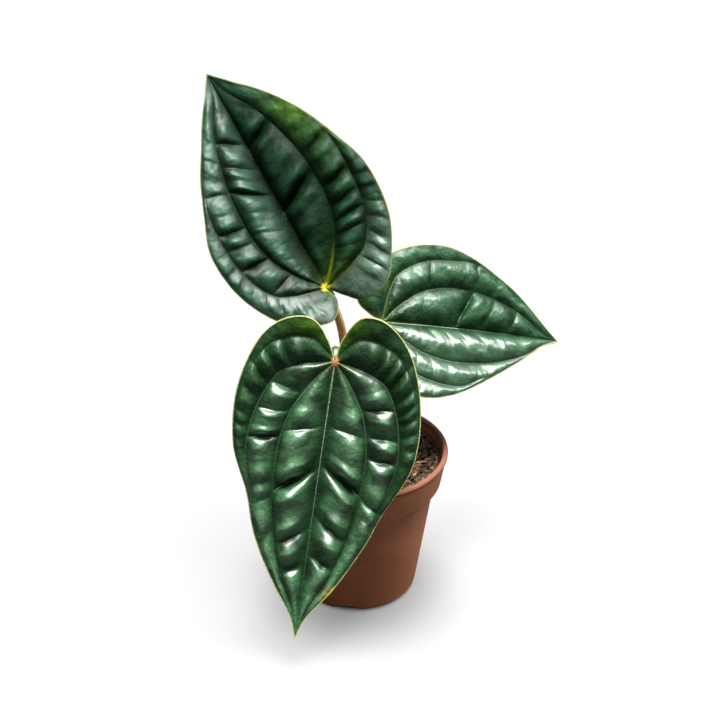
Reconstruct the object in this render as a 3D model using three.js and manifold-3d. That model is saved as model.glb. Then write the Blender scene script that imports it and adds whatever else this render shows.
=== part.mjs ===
// A young anthurium luxurians in a nine centimetre nursery pot: three bullate, heart-shaped
// blades on slender petioles, a short crown with its roots, bark potting mix and the pot.
// Millimetres, +Z up. The origin is the centre of the pot's underside, -Y is the front.

import * as THREE from 'three';
import { mergeVertices } from 'three/addons/utils/BufferGeometryUtils.js';
import Module from 'manifold-3d';

const wasm = await Module();
wasm.setup();

// Driving dimensions

const GAP = 0.3;

const POT = {
  height: 77,
  rimRadius: 45,
  rimInner: 42.4,
  beadHeight: 2.4,
  bandTop: 44.4,
  bandBottom: 41.9,
  bandBottomZ: 60.5,
  bandWall: 1.5,
  bodyTop: 38.9,
  foot: 30.4,
  footRound: 1.8,
  wall: 1.3,
  recess: 3.6,
  floor: 1.5,
  footRing: 3.2,
  pad: 8,
  segments: 40,
};
const NOTCH = { width: 12, count: 4, firstAngle: -99 };
const DRAIN = { radius: 3, ring: 18, count: 6, sides: 8 };

const MIX = { level: 70.5, mound: 1.6, bump: 0.7, rings: [0.36, 0.6, 0.82], seed: 11 };
const BARK = {
  count: 34,
  length: [6, 11],
  width: [2.6, 4.4],
  thickness: [1.5, 2.4],
  reach: 36,
  tilt: 0.45,
  seed: 5,
};

const CROWN = {
  x: 0,
  y: 1,
  profile: [[0, 44], [4, 45], [7, 50], [8.2, 58], [8.6, 66], [8, 71], [6.4, 74.5], [3.5, 76.3], [0, 76.8]],
  segments: 14,
};
const ROOT = { count: 4, firstAngle: 20, radius: 1.7, taper: 0.6, steps: 5, sides: 5 };
const ROOT_PATH = [[3, 55], [11, 49], [19, 37], [25, 21], [22, 9.5]];
const SCALE_LEAF = { count: 3, firstAngle: 90, radius: 1.9, taper: 0.7, steps: 3, sides: 5 };
const SCALE_LEAF_PATH = [[5.6, 68], [8.4, 75], [9.4, 81], [8.6, 87]];

const PETIOLE = {
  radius: 2,
  sheath: 0.6,
  sheathReach: 16,
  joint: 0.25,
  jointReach: 9,
  steps: 24,
  sides: 8,
};

// The run of the top of a petiole in its blade's frame: along the midrib, and out from the face
const JOINT_PATH = [[0.5, -12], [-3.6, -8], [-3, -5.3], [0.6, -3.9], [4, -3.4]];

const BLADE = {
  thickness: 1.1,
  keel: 1.2,
  keelStart: 7,
  keelFull: 18,
  crestShift: 0.7,
  swell: 1.75,
  ribSwell: 1.6,
  ribPower: 1.5,
  rimRise: 0.15,
  bandEnds: [3, 4.6],
  bandPillow: 0.6,
  mergeEnds: [6.2, 7.6],
  lanes: [[0.2, 0.45, 0.8, 1], [0.3, 0.72, 1], [0.45, 1], [1]],
  rows: [2, 2, 3, 5, 6, 6, 5, 4, 4, 3, 2, 2],
};

// The net of veins that every blade shares. Each list has one entry for each station from the
// petiole to the tip. A vein's points are fractions of the blade's length and half width.
const MIDRIB = [0, 0.012, 0.03, 0.06, 0.11, 0.18, 0.27, 0.37, 0.48, 0.6, 0.73, 0.87, 1];
const INNER_VEIN = [
  [0, 0], [0.009, 0.025], [0.025, 0.065], [0.055, 0.15], [0.11, 0.27], [0.19, 0.4], [0.315, 0.48],
  [0.46, 0.475], [0.565, 0.435], [0.67, 0.36], [0.77, 0.26], [0.9, 0.075], [1, 0],
];
const OUTER_VEIN = [
  [0, 0], [0.006, 0.1], [0.014, 0.22], [0.03, 0.4], [0.07, 0.6], [0.185, 0.765], [0.33, 0.82],
];
const OUTER_VEIN_RIM = 0.92;
const LOBE_VEIN = [0.5, 0.5, 0.55, 0.6, 0.68, 0.8, 0.92, 0.95, 0.95, 0.95, 0.95, 0.95, 0.95];

// Each blade: where its petiole meets it, its tip, the way its face looks, how far each half folds
// up, how far the length bows, how far the basal lobes lift and where the crests lie across the
// lanes. Each half has the rise of its four lanes, a depth for the ribs of its three inner ones,
// its outline at the inner stations, in millimetres along and out from the midrib, and the cross
// ribs of those lanes as a station and a depth.
const BLADES = {
  front: {
    base: [-8.8, -34, 142.1],
    tip: [-27.8, -74, 20],
    face: [0.05, -1, 0.45],
    fold: [0.1, 0.1],
    bow: -2.2,
    lobeLift: 0.006,
    lobeBand: true,
    crossShift: 0.85,
    rise: [[0.25, 0.26, 0.23, 0.12], [0.25, 0.26, 0.23, 0.12]],
    ribDepth: [[1.15, 1.05, 0.7], [1.15, 1.05, 0.7]],
    outline: [
      [
        [-9, 4], [-18, 12], [-17, 24], [-6, 34.5], [17, 41], [42, 39.5], [63, 31], [80, 26], [93, 20],
        [106, 12.5], [119, 4],
      ],
      [
        [-11, 2], [-21.5, 9], [-20, 21], [-7, 33], [16, 40.5], [42, 41], [66, 31], [80, 26], [94, 19.5],
        [106, 13], [119, 4],
      ],
    ],
    ribs: [
      [
        [[4.5, 0.25], [5.6, 0.6], [6.3, 0.3], [7.15, 1], [8.2, 0.35], [9, 0.8], [10, 1], [10.8, 0.3]],
        [
          [4.25, 0.9], [5, 0.7], [5.4, 0.5], [5.77, 1], [6.4, 0.35], [6.85, 0.6], [7.3, 0.8],
          [8.45, 0.6], [9.3, 0.4],
        ],
        [
          [2.5, 0.5], [3.3, 0.9], [3.95, 0.9], [4.4, 0.9], [4.85, 0.8], [5.35, 0.7], [5.6, 0.7],
          [5.85, 0.8], [6.2, 0.6],
        ],
      ],
      [
        [[4.5, 0.25], [5.55, 0.6], [6.3, 0.3], [6.97, 1], [7.9, 0.35], [8.6, 0.8], [9.72, 1], [10.6, 0.3]],
        [
          [3.9, 0.35], [4.65, 0.9], [5.47, 0.9], [6.03, 1], [6.5, 0.4], [7, 0.9], [7.5, 0.4],
          [8.15, 0.6], [9, 0.4],
        ],
        [
          [2.4, 0.5], [3.2, 0.9], [3.7, 0.7], [4.1, 1], [4.55, 0.8], [4.85, 0.7], [5.1, 0.7], [5.4, 0.7],
          [5.7, 0.7], [6, 0.7],
        ],
      ],
    ],
  },
  top: {
    base: [-13.3, 0, 161.9],
    tip: [-68.2, 55, 244.8],
    face: [-0.02, -1, 0.55],
    fold: [0.42, 0.28],
    bow: 1,
    lobeLift: 0.02,
    lobeBand: false,
    crossShift: 1,
    rise: [[0.23, 0.24, 0.2, 0.2], [0.23, 0.24, 0.13, 0.13]],
    ribDepth: [[1.15, 1.05, 0.7], [1.15, 1.05, 0.7]],
    outline: [
      [
        [-8, 6], [-14.5, 13], [-13, 25], [-4, 32.5], [14, 41], [37, 42.5], [56, 37], [71, 31], [82, 25],
        [93, 17.5], [104, 8],
      ],
      [
        [-8, -2], [-15.5, 4], [-12, 16], [-3, 27], [15, 36], [36, 38], [54, 32], [69, 26], [81, 19.5],
        [93, 13], [104, 6],
      ],
    ],
    ribs: [
      [
        [[5.3, 0.4], [6, 0.4], [6.8, 1], [7.7, 0.4], [8.6, 0.4], [9.3, 1], [10.3, 0.4]],
        [
          [4, 0.5], [4.6, 0.7], [5.1, 0.8], [5.6, 0.9], [6.2, 1], [6.7, 0.5], [7.25, 0.8], [8, 0.5],
          [8.8, 0.4], [9.6, 0.4],
        ],
        [
          [2.8, 0.6], [3.4, 0.7], [4, 0.8], [4.4, 0.7], [4.8, 0.8], [5.2, 0.7], [5.55, 0.8], [5.9, 0.7],
          [6.2, 0.7], [6.6, 0.6],
        ],
      ],
      [
        [[5.2, 0.3], [6, 0.4], [6.7, 0.4], [7.5, 0.8], [8, 0.4], [8.5, 0.7], [9.5, 0.9], [10.6, 0.6]],
        [
          [4, 0.8], [5.15, 1], [5.8, 0.7], [6.3, 1], [6.8, 0.5], [7.45, 0.8], [7.95, 0.6], [8.65, 0.7],
          [9.4, 0.5], [10.3, 0.4],
        ],
        [
          [2, 0.5], [2.6, 0.6], [3.2, 0.7], [3.7, 0.7], [4.2, 0.8], [4.6, 0.7], [5, 0.8], [5.4, 0.7],
          [5.8, 0.8], [6.3, 0.7],
        ],
      ],
    ],
  },
  right: {
    base: [12.5, 12, 138.4],
    tip: [103.1, 50, 107.9],
    face: [0.5, -0.62, 0.61],
    fold: [0.26, 0.26],
    bow: 2.6,
    lobeLift: 0,
    lobeBand: false,
    crossShift: 1,
    rise: [[0.22, 0.22, 0.18, 0.18], [0.24, 0.22, 0.11, 0.11]],
    ribDepth: [[0.5, 0.5, 0.4], [1.05, 0.9, 0.6]],
    outline: [
      [
        [-7, 3.5], [-13, 10], [-11, 21], [-4, 31], [13, 38], [29, 36], [44, 30], [58, 23], [70, 16.5],
        [81, 10.5], [92, 4],
      ],
      [
        [-7, 3.5], [-13, 9], [-12, 19], [-5, 28], [12, 36], [31, 38], [48, 33.5], [62, 27], [74, 20.5],
        [84, 13.5], [94, 6],
      ],
    ],
    ribs: [
      [
        [[4.8, 0.4], [5.6, 0.5], [6.3, 0.6], [7, 0.5], [7.9, 0.6], [9, 0.5], [10, 0.3]],
        [[3.6, 0.5], [4.4, 0.5], [5.1, 0.7], [5.8, 0.4], [6.4, 0.4], [7, 0.5], [7.8, 0.4], [8.8, 0.4]],
        [[2.6, 0.6], [3.2, 0.7], [3.8, 0.7], [4.3, 0.6], [4.8, 0.7], [5.25, 0.6], [5.8, 0.5], [6.4, 0.4]],
      ],
      [
        [[5, 0.3], [7.1, 1], [8.3, 0.5], [9.6, 0.7], [10.6, 0.3]],
        [[3.9, 0.4], [4.6, 0.4], [5.3, 0.6], [5.9, 0.4], [6.6, 0.5], [7.1, 0.7], [8, 0.5], [9, 0.4]],
        [[2.6, 0.4], [3.4, 0.5], [4.2, 0.4], [4.9, 0.5], [5.6, 0.4], [6.3, 0.4], [7, 0.4]],
      ],
    ],
  },
};

// Where each petiole leaves the crown and the points that it passes on its way up
const PETIOLES = {
  front: [[-0.5, -3.6, 60], [-0.8, -3.9, 74], [-4, -5.5, 95], [-8, -10, 112]],
  top: [[-4.2, 3.6, 60], [-4.3, 4, 76], [-4.2, 6, 100], [-4.8, 7.6, 124], [-7, 8, 140]],
  right: [[4.3, 3.2, 60], [4.5, 3.8, 76], [4.6, 9, 98], [5.4, 16, 114]],
};

const COLOURS = {
  pot: 0x8a4a30,
  mix: 0x2a1b12,
  crown: 0x6d5a34,
  petiole: 0x7d8a3c,
  blade: 0x1f4a28,
};

// Small helpers

function seededRandom(seed) {
  let state = seed;
  return () => {
    state = (state * 1664525 + 1013904223) % 4294967296;
    return state / 4294967296;
  };
}

function between(random, [low, high]) {
  return low + (high - low) * random();
}

function lerp(a, b, share) {
  return a + (b - a) * share;
}

function smoothStep(low, high, value) {
  const share = Math.min(1, Math.max(0, (value - low) / (high - low)));
  return share * share * (3 - 2 * share);
}

function vector([x, y, z]) {
  return new THREE.Vector3(x, y, z);
}

function material(colour, roughness) {
  return new THREE.MeshStandardMaterial({ color: colour, roughness, metalness: 0 });
}

function geometryFrom(positions, triangles) {
  const geometry = new THREE.BufferGeometry();
  geometry.setAttribute('position', new THREE.Float32BufferAttribute(positions, 3));
  geometry.setIndex(triangles);
  return geometry;
}

function toManifold(geometry) {
  const bare = geometry.clone();
  bare.deleteAttribute('normal');
  bare.deleteAttribute('uv');
  const merged = mergeVertices(bare, 1e-3);
  const vertProperties = Float32Array.from(merged.attributes.position.array);
  const triVerts = Uint32Array.from(merged.index.array);
  return new wasm.Manifold(new wasm.Mesh({ numProp: 3, vertProperties, triVerts }));
}

// The largest body of a solid, so that no loose scrap of a cut is left
function largestBody(solid) {
  const bodies = solid.decompose();
  return bodies.reduce((best, body) => (body.volume() > best.volume() ? body : best));
}

function toGeometry(solid) {
  const mesh = largestBody(solid).getMesh();
  return geometryFrom(mesh.vertProperties, Array.from(mesh.triVerts));
}

// A closed tube of changing radius along a smooth curve
function sweep(points, radiusAt, steps, sides) {
  const path = new THREE.CatmullRomCurve3(points, false, 'centripetal');
  const frames = path.computeFrenetFrames(steps, false);
  const positions = [];
  const triangles = [];
  for (let step = 0; step <= steps; step += 1) {
    const centre = path.getPointAt(step / steps);
    const radius = radiusAt(step / steps, path.getLength());
    for (let side = 0; side < sides; side += 1) {
      const angle = (2 * Math.PI * side) / sides;
      const spoke = frames.normals[step].clone().multiplyScalar(radius * Math.cos(angle));
      spoke.addScaledVector(frames.binormals[step], radius * Math.sin(angle));
      positions.push(...centre.clone().add(spoke).toArray());
    }
  }
  for (let step = 0; step < steps; step += 1) {
    for (let side = 0; side < sides; side += 1) {
      const next = (side + 1) % sides;
      const low = step * sides;
      const high = low + sides;
      triangles.push(low + side, low + next, high + next);
      triangles.push(low + side, high + next, high + side);
    }
  }
  for (let side = 1; side < sides - 1; side += 1) {
    const last = steps * sides;
    triangles.push(0, side + 1, side);
    triangles.push(last, last + side, last + side + 1);
  }
  return geometryFrom(positions, triangles);
}

// A lathe turned to stand along +Z, from points given as radius and height
function latheUp(profile, segments) {
  const outline = profile.map(([radius, height]) => new THREE.Vector2(radius, height));
  return new THREE.LatheGeometry(outline, segments).rotateX(Math.PI / 2);
}

// A path in the upright plane at an angle round the crown, from points given as reach and height
function spokePath(points, degrees) {
  const angle = THREE.MathUtils.degToRad(degrees);
  return points.map(([reach, height]) => new THREE.Vector3(
    CROWN.x + reach * Math.cos(angle),
    CROWN.y + reach * Math.sin(angle),
    height,
  ));
}

// The pot: a thin moulded wall with a stepped band, a beaded lip and a recessed, drained floor

function innerRadius(height) {
  if (height > POT.bandBottomZ) {
    const share = (height - POT.bandBottomZ) / (POT.height - POT.bandBottomZ);
    return lerp(POT.bandBottom - POT.bandWall, POT.rimInner, share);
  }
  return lerp(POT.foot, POT.bodyTop, height / POT.bandBottomZ) - POT.wall;
}

function potProfile() {
  const beadFoot = POT.height - POT.beadHeight;
  const floorTop = POT.recess + POT.floor;
  const stepInside = POT.bandBottomZ - POT.bandWall;
  return [
    [0, 0],
    [POT.pad, 0],
    [POT.pad + 0.8, POT.recess],
    [POT.foot - POT.footRing - 0.6, POT.recess],
    [POT.foot - POT.footRing, 0],
    [POT.foot - POT.footRound, 0],
    [POT.foot, POT.footRound],
    [POT.bodyTop, POT.bandBottomZ - 0.5],
    [POT.bandBottom, POT.bandBottomZ],
    [POT.bandTop, beadFoot],
    [POT.rimRadius, beadFoot + 0.5],
    [POT.rimRadius, POT.height - 0.8],
    [POT.rimRadius - 0.8, POT.height],
    [POT.rimInner + 0.6, POT.height],
    [POT.rimInner, POT.height - 0.7],
    [innerRadius(POT.bandBottomZ + 0.1), POT.bandBottomZ + 0.1],
    [innerRadius(stepInside), stepInside],
    [innerRadius(floorTop + 1.2), floorTop + 1.2],
    [innerRadius(floorTop) - 1.4, floorTop],
    [0, floorTop],
  ];
}

function potGeometry() {
  let solid = toManifold(latheUp(potProfile(), POT.segments));
  for (let index = 0; index < NOTCH.count; index += 1) {
    const reach = POT.footRing + 4;
    const cutter = new THREE.BoxGeometry(reach, NOTCH.width, 2 * POT.recess);
    cutter.translate(POT.foot - POT.footRing / 2 + 1, 0, -0.1);
    cutter.rotateZ(THREE.MathUtils.degToRad(NOTCH.firstAngle + (360 / NOTCH.count) * index));
    solid = solid.subtract(toManifold(cutter));
  }
  for (let index = 0; index < DRAIN.count; index += 1) {
    const cutter = new THREE.CylinderGeometry(DRAIN.radius, DRAIN.radius, 12, DRAIN.sides);
    cutter.rotateX(Math.PI / 2);
    cutter.translate(DRAIN.ring, 0, POT.recess);
    cutter.rotateZ((2 * Math.PI * (index + 0.5)) / DRAIN.count);
    solid = solid.subtract(toManifold(cutter));
  }
  return toGeometry(solid);
}

// The crown: the short stem in the mix, its roots, and the old scale leaves round the petioles

function crownSolid(grow) {
  const middle = CROWN.profile.length / 2;
  const profile = CROWN.profile.map(([radius, height], index) => [
    radius > 0 ? radius + grow : 0,
    index < middle ? height - grow : height + grow,
  ]);
  const body = latheUp(profile, CROWN.segments).translate(CROWN.x, CROWN.y, 0);
  let solid = toManifold(body);
  for (let index = 0; index < ROOT.count; index += 1) {
    const path = spokePath(ROOT_PATH, ROOT.firstAngle + (360 / ROOT.count) * index);
    const radiusAt = (share) => ROOT.radius * (1 - ROOT.taper * share) + grow;
    solid = solid.add(toManifold(sweep(path, radiusAt, ROOT.steps, ROOT.sides)));
  }
  for (let index = 0; index < SCALE_LEAF.count; index += 1) {
    const path = spokePath(SCALE_LEAF_PATH, SCALE_LEAF.firstAngle + (360 / SCALE_LEAF.count) * index);
    const radiusAt = (share) => SCALE_LEAF.radius * (1 - SCALE_LEAF.taper * share) + grow;
    solid = solid.add(toManifold(sweep(path, radiusAt, SCALE_LEAF.steps, SCALE_LEAF.sides)));
  }
  return solid;
}

function crownGeometry(sockets) {
  let solid = crownSolid(0);
  for (const socket of sockets) {
    solid = solid.subtract(socket);
  }
  return toGeometry(solid);
}

// The potting mix: a body that fills the pot, with bark chips lying half sunk in its top

function mixBody() {
  const random = seededRandom(MIX.seed);
  const floorTop = POT.recess + POT.floor + GAP;
  const ledge = POT.bandBottomZ - POT.bandWall;
  const side = [floorTop + 1, ledge + GAP, POT.bandBottomZ + 3 * GAP, MIX.level];
  const profile = [[0, floorTop], [innerRadius(floorTop) - 1.8, floorTop]];
  for (const height of side) {
    profile.push([innerRadius(height) - GAP - 0.1, height]);
  }
  const edge = profile[profile.length - 1][0];
  for (const share of [...MIX.rings].reverse()) {
    profile.push([edge * share, MIX.level + MIX.mound * (1 - share)]);
  }
  profile.push([0, MIX.level + MIX.mound]);
  const geometry = latheUp(profile, POT.segments);
  geometry.deleteAttribute('normal');
  geometry.deleteAttribute('uv');
  const merged = mergeVertices(geometry, 1e-3);
  const place = merged.attributes.position;
  for (let index = 0; index < place.count; index += 1) {
    const reach = Math.hypot(place.getX(index), place.getY(index));
    if (place.getZ(index) > MIX.level + 0.1 && reach < edge - 1) {
      place.setZ(index, place.getZ(index) + MIX.bump * (2 * random() - 1));
    }
  }
  return toManifold(merged);
}

function barkChip(random) {
  const length = between(random, BARK.length);
  const chip = new THREE.BoxGeometry(length, between(random, BARK.width), between(random, BARK.thickness));
  const place = chip.attributes.position;
  const pinch = 0.55 + 0.35 * random();
  for (let index = 0; index < place.count; index += 1) {
    if (place.getX(index) > 0) {
      place.setY(index, place.getY(index) * pinch);
      place.setZ(index, place.getZ(index) * 0.75);
    }
  }
  chip.rotateX(BARK.tilt * (2 * random() - 1));
  chip.rotateY(BARK.tilt * (2 * random() - 1));
  chip.rotateZ(2 * Math.PI * random());
  const reach = BARK.reach * Math.sqrt(random());
  const angle = 2 * Math.PI * random();
  const height = MIX.level + MIX.mound * (1 - reach / BARK.reach) + 0.4;
  return chip.translate(reach * Math.cos(angle), reach * Math.sin(angle), height);
}

function mixGeometry() {
  const random = seededRandom(BARK.seed);
  let solid = mixBody();
  for (let index = 0; index < BARK.count; index += 1) {
    solid = solid.add(toManifold(barkChip(random)));
  }
  return toGeometry(solid.subtract(crownSolid(GAP)));
}

// The blades: a net of lanes between the midrib, the veins and the outline, each lane pillowed
// between its cross ribs

function splineAt(points, station) {
  const last = points.length - 1;
  const cell = Math.min(Math.floor(station), last - 1);
  const share = station - cell;
  const pick = (index) => points[Math.min(last, Math.max(0, index))];
  return [0, 1].map((axis) => {
    const [a, b, c, d] = [-1, 0, 1, 2].map((step) => pick(cell + step)[axis]);
    return THREE.MathUtils.clamp(0.5 * (2 * b + (c - a) * share + (2 * a - 5 * b + 4 * c - d) * share ** 2
      + (3 * b - a - 3 * c + d) * share ** 3), -1000, 1000);
  });
}

function bladeFrame(leaf) {
  const base = vector(leaf.base);
  const along = vector(leaf.tip).sub(base);
  const length = along.length();
  along.normalize();
  const out = vector(leaf.face);
  out.addScaledVector(along, -out.dot(along)).normalize();
  const across = new THREE.Vector3().crossVectors(out, along);
  const matrix = new THREE.Matrix4().makeBasis(along, across, out).setPosition(base);
  return { length, matrix };
}

// The midrib, the inner vein, the outer vein, the lobe vein and the outline of one half
function halfCurves(leaf, side, length) {
  const outline = [[0, 0], ...leaf.outline[side], [length, 0]];
  const width = Math.max(...leaf.outline[side].map(([, out]) => out));
  const outer = outline.map(([along, out], station) => {
    if (station < OUTER_VEIN.length) {
      return [OUTER_VEIN[station][0] * length, OUTER_VEIN[station][1] * width];
    }
    return [along, out * OUTER_VEIN_RIM];
  });
  return [
    MIDRIB.map((share) => [share * length, 0]),
    INNER_VEIN.map(([along, out]) => [along * length, out * width]),
    outer,
    outline.map((point, station) => [
      lerp(outer[station][0], point[0], LOBE_VEIN[station]),
      lerp(outer[station][1], point[1], LOBE_VEIN[station]),
    ]),
    outline,
  ];
}

// How much of its full height a pillow has at a station, from the ribs before and after it
function pillowShare(ribs, station) {
  let before = [0, 0.3];
  let after = [MIDRIB.length - 1, 0.3];
  for (const rib of ribs) {
    if (rib[0] <= station) {
      before = rib;
    } else {
      after = rib;
      break;
    }
  }
  const share = ((station - before[0]) / (after[0] - before[0])) ** BLADE.crestShift;
  return 1 - lerp(before[1], after[1], share) * Math.abs(2 * share - 1) ** BLADE.ribSwell;
}

// A lane's width, and how much of the full rise it has at a point across it
function dome(leaf, inside, outside, point) {
  const width = Math.hypot(outside[0] - inside[0], outside[1] - inside[1]);
  const share = Math.hypot(point[0] - inside[0], point[1] - inside[1]) / Math.max(width, 1e-6);
  return [width, Math.max(0, 1 - Math.abs(2 * share ** leaf.crossShift - 1) ** BLADE.swell)];
}

// The domes that shape a lane at a station, as their two lines and their part. Beyond the band
// along the lobes the two outermost lanes are one, and towards the tip they join the one inside.
function laneSpans(leaf, lane, station) {
  const band = leaf.lobeBand ? 1 - smoothStep(...BLADE.bandEnds, station) : 0;
  const merged = lane > 0 ? smoothStep(...BLADE.mergeEnds, station) : 0;
  if (lane < 2) {
    return [[lane, lane + 1, 1 - merged], [1, 4, merged]];
  }
  return [[lane, lane + 1, band * (1 - merged)], [2, 4, (1 - band) * (1 - merged)], [1, 4, merged]];
}

function lanePillow(leaf, side, lane, station) {
  const scale = leaf.ribDepth[side][lane];
  const ribs = leaf.ribs[side][lane].map(([place, depth]) => [place, scale * depth ** BLADE.ribPower]);
  return pillowShare(ribs, station);
}

// How far a blade rises above its ground form at a point
function relief(leaf, side, lane, edges, point, station) {
  let [width, crown, rise] = [0, 0, 0];
  for (const [first, last, part] of laneSpans(leaf, lane, station)) {
    const [wide, high] = dome(leaf, edges[first], edges[last], point);
    width += wide * part;
    crown += high * part;
    rise += (last - first > 2 ? BLADE.rimRise : leaf.rise[side][lane]) * part;
  }
  let pillow = lanePillow(leaf, side, Math.min(lane, 2), station);
  if (lane === 3 && leaf.lobeBand) {
    pillow = lerp(BLADE.bandPillow, pillow, smoothStep(...BLADE.bandEnds, station));
  }
  if (lane > 1) {
    pillow = lerp(pillow, lanePillow(leaf, side, 1, station), smoothStep(...BLADE.mergeEnds, station));
  }
  return rise * width * crown * pillow;
}

function surfaceHeight(leaf, length, along, out, side) {
  const share = along / length;
  const bow = 4 * leaf.bow * share * (1 - Math.max(0, share));
  const lift = share < 0 ? leaf.lobeLift * along * along : 0;
  return leaf.fold[side] * out + bow + lift;
}

// One half's points at a station, from the midrib outwards, as along, out and height
function halfRow(leaf, side, curves, length, station) {
  const edges = curves.map((curve) => splineAt(curve, station));
  const row = [];
  BLADE.lanes.forEach((shares, lane) => {
    const [inner, outer] = [edges[lane], edges[lane + 1]];
    for (const share of shares) {
      const along = lerp(inner[0], outer[0], share);
      const out = lerp(inner[1], outer[1], share);
      const height = surfaceHeight(leaf, length, along, out, side);
      row.push([along, out, height + relief(leaf, side, lane, edges, [along, out], station)]);
    }
  });
  return row;
}

function bladeStations() {
  const stations = [];
  BLADE.rows.forEach((count, interval) => {
    for (let step = 0; step < count; step += 1) {
      stations.push(interval + step / count);
    }
  });
  return stations.slice(1);
}

// All rows of a blade between its base and its tip, from the outline of one half to the other's
function bladeRows(leaf, length) {
  const curves = [0, 1].map((side) => halfCurves(leaf, side, length));
  return bladeStations().map((station) => {
    const minus = halfRow(leaf, 0, curves[0], length, station);
    const plus = halfRow(leaf, 1, curves[1], length, station);
    const spine = splineAt(curves[0][0], station)[0];
    return [
      ...minus.reverse().map(([along, out, height]) => [along, -out, height]),
      [spine, 0, surfaceHeight(leaf, length, spine, 0, 0)],
      ...plus,
    ];
  });
}

// A closed blade: the front sheet raised by up, the back sheet lowered by down and by the keel
function bladeGeometry(leaf, length, up, down) {
  const rows = bladeRows(leaf, length);
  const columns = rows[0].length;
  const spineColumn = (columns - 1) / 2;
  const positions = [];
  const addSheet = (offsetAt) => {
    positions.push(0, 0, offsetAt(0, -1));
    for (const row of rows) {
      row.forEach(([along, across, height], column) => {
        positions.push(along, across, height + offsetAt(along, column));
      });
    }
    positions.push(length, 0, offsetAt(length, -1));
  };
  addSheet(() => up);
  addSheet((along, column) => {
    const onSpine = column === spineColumn ? 1 : 0;
    const keel = BLADE.keel * smoothStep(BLADE.keelStart, BLADE.keelFull, along) * (1 - along / length);
    return -down - onSpine * keel;
  });
  const sheet = rows.length * columns + 2;
  const at = (row, column) => {
    if (row < 0) {
      return 0;
    }
    return row === rows.length ? sheet - 1 : 1 + row * columns + column;
  };
  const triangles = [];
  const addBoth = (a, b, c) => {
    if (a !== b && b !== c && c !== a) {
      triangles.push(a, b, c);
      triangles.push(sheet + a, sheet + c, sheet + b);
    }
  };
  for (let row = -1; row < rows.length; row += 1) {
    for (let column = 0; column < columns - 1; column += 1) {
      addBoth(at(row, column), at(row + 1, column), at(row + 1, column + 1));
      addBoth(at(row, column), at(row + 1, column + 1), at(row, column + 1));
    }
    const last = columns - 1;
    for (const [from, to] of [[at(row + 1, 0), at(row, 0)], [at(row, last), at(row + 1, last)]]) {
      triangles.push(from, to, sheet + to);
      triangles.push(from, sheet + to, sheet + from);
    }
  }
  return geometryFrom(positions, triangles);
}

// The petioles: round stalks that swell where they clasp the crown and where they meet the blade

function petioleSolid(name, matrix, grow) {
  const points = PETIOLES[name].map(vector);
  for (const [along, out] of JOINT_PATH) {
    points.push(new THREE.Vector3(along, 0, out).applyMatrix4(matrix));
  }
  const radiusAt = (share, length) => {
    const fromCrown = (share * length) / PETIOLE.sheathReach;
    const fromBlade = ((1 - share) * length) / PETIOLE.jointReach;
    return PETIOLE.radius + PETIOLE.sheath * Math.exp(-(fromCrown ** 2))
      + PETIOLE.joint * Math.exp(-(fromBlade ** 2)) + grow;
  };
  return toManifold(sweep(points, radiusAt, PETIOLE.steps, PETIOLE.sides));
}

// The assembly

const plant = new THREE.Group();
const sockets = [];
for (const [name, leaf] of Object.entries(BLADES)) {
  const { length, matrix } = bladeFrame(leaf);
  const blade = new THREE.Mesh(
    bladeGeometry(leaf, length, 0, BLADE.thickness),
    material(COLOURS.blade, 0.35),
  );
  blade.name = `leaf_${name}`;
  blade.applyMatrix4(matrix);
  plant.add(blade);
  const clearance = bladeGeometry(leaf, length, 12, BLADE.thickness + GAP).applyMatrix4(matrix);
  const petiole = new THREE.Mesh(
    toGeometry(petioleSolid(name, matrix, 0).subtract(toManifold(clearance))),
    material(COLOURS.petiole, 0.5),
  );
  petiole.name = `petiole_${name}`;
  plant.add(petiole);
  sockets.push(petioleSolid(name, matrix, GAP));
}

const crown = new THREE.Mesh(crownGeometry(sockets), material(COLOURS.crown, 0.8));
crown.name = 'crown_and_roots';
plant.add(crown);

const mix = new THREE.Mesh(mixGeometry(), material(COLOURS.mix, 0.95));
mix.name = 'potting_mix';

const pot = new THREE.Mesh(potGeometry(), material(COLOURS.pot, 0.45));
pot.name = 'pot';

const potted = new THREE.Group();
potted.add(pot, mix, plant);

export default potted;
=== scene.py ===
"""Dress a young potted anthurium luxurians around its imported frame.

Three bullate, heart-shaped blades stand on slender petioles over a short crown, in bark mix and
a thin nursery pot. Sizes are in millimetres in the fields below and in metres in the meshes.
"""

import logging
import math
from bisect import bisect_right
from collections.abc import Callable, Iterator, Sequence
from contextlib import contextmanager
from dataclasses import dataclass
from enum import Enum
from functools import partial, reduce
from random import Random
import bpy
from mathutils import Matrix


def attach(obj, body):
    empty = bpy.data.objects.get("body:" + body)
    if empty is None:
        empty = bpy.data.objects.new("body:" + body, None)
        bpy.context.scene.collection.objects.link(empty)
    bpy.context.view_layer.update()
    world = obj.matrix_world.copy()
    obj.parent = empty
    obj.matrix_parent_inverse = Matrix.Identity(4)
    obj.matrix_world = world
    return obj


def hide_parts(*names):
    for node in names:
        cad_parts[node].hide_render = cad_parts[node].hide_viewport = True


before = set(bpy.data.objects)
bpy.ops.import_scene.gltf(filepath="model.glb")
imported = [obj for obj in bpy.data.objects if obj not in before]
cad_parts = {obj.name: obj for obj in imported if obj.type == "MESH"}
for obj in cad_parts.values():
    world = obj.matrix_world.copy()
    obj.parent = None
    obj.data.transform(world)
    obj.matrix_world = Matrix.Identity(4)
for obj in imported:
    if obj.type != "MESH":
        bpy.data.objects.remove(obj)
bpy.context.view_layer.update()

from types import SimpleNamespace
from typing import NamedTuple

import bpy
from mathutils import Color, Euler, Matrix, Vector, noise
from mathutils.kdtree import KDTree

LOG = logging.getLogger("potted_plant")
MM = 0.001
BODY = "root"
DISPLAY_WHITE = 255

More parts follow.
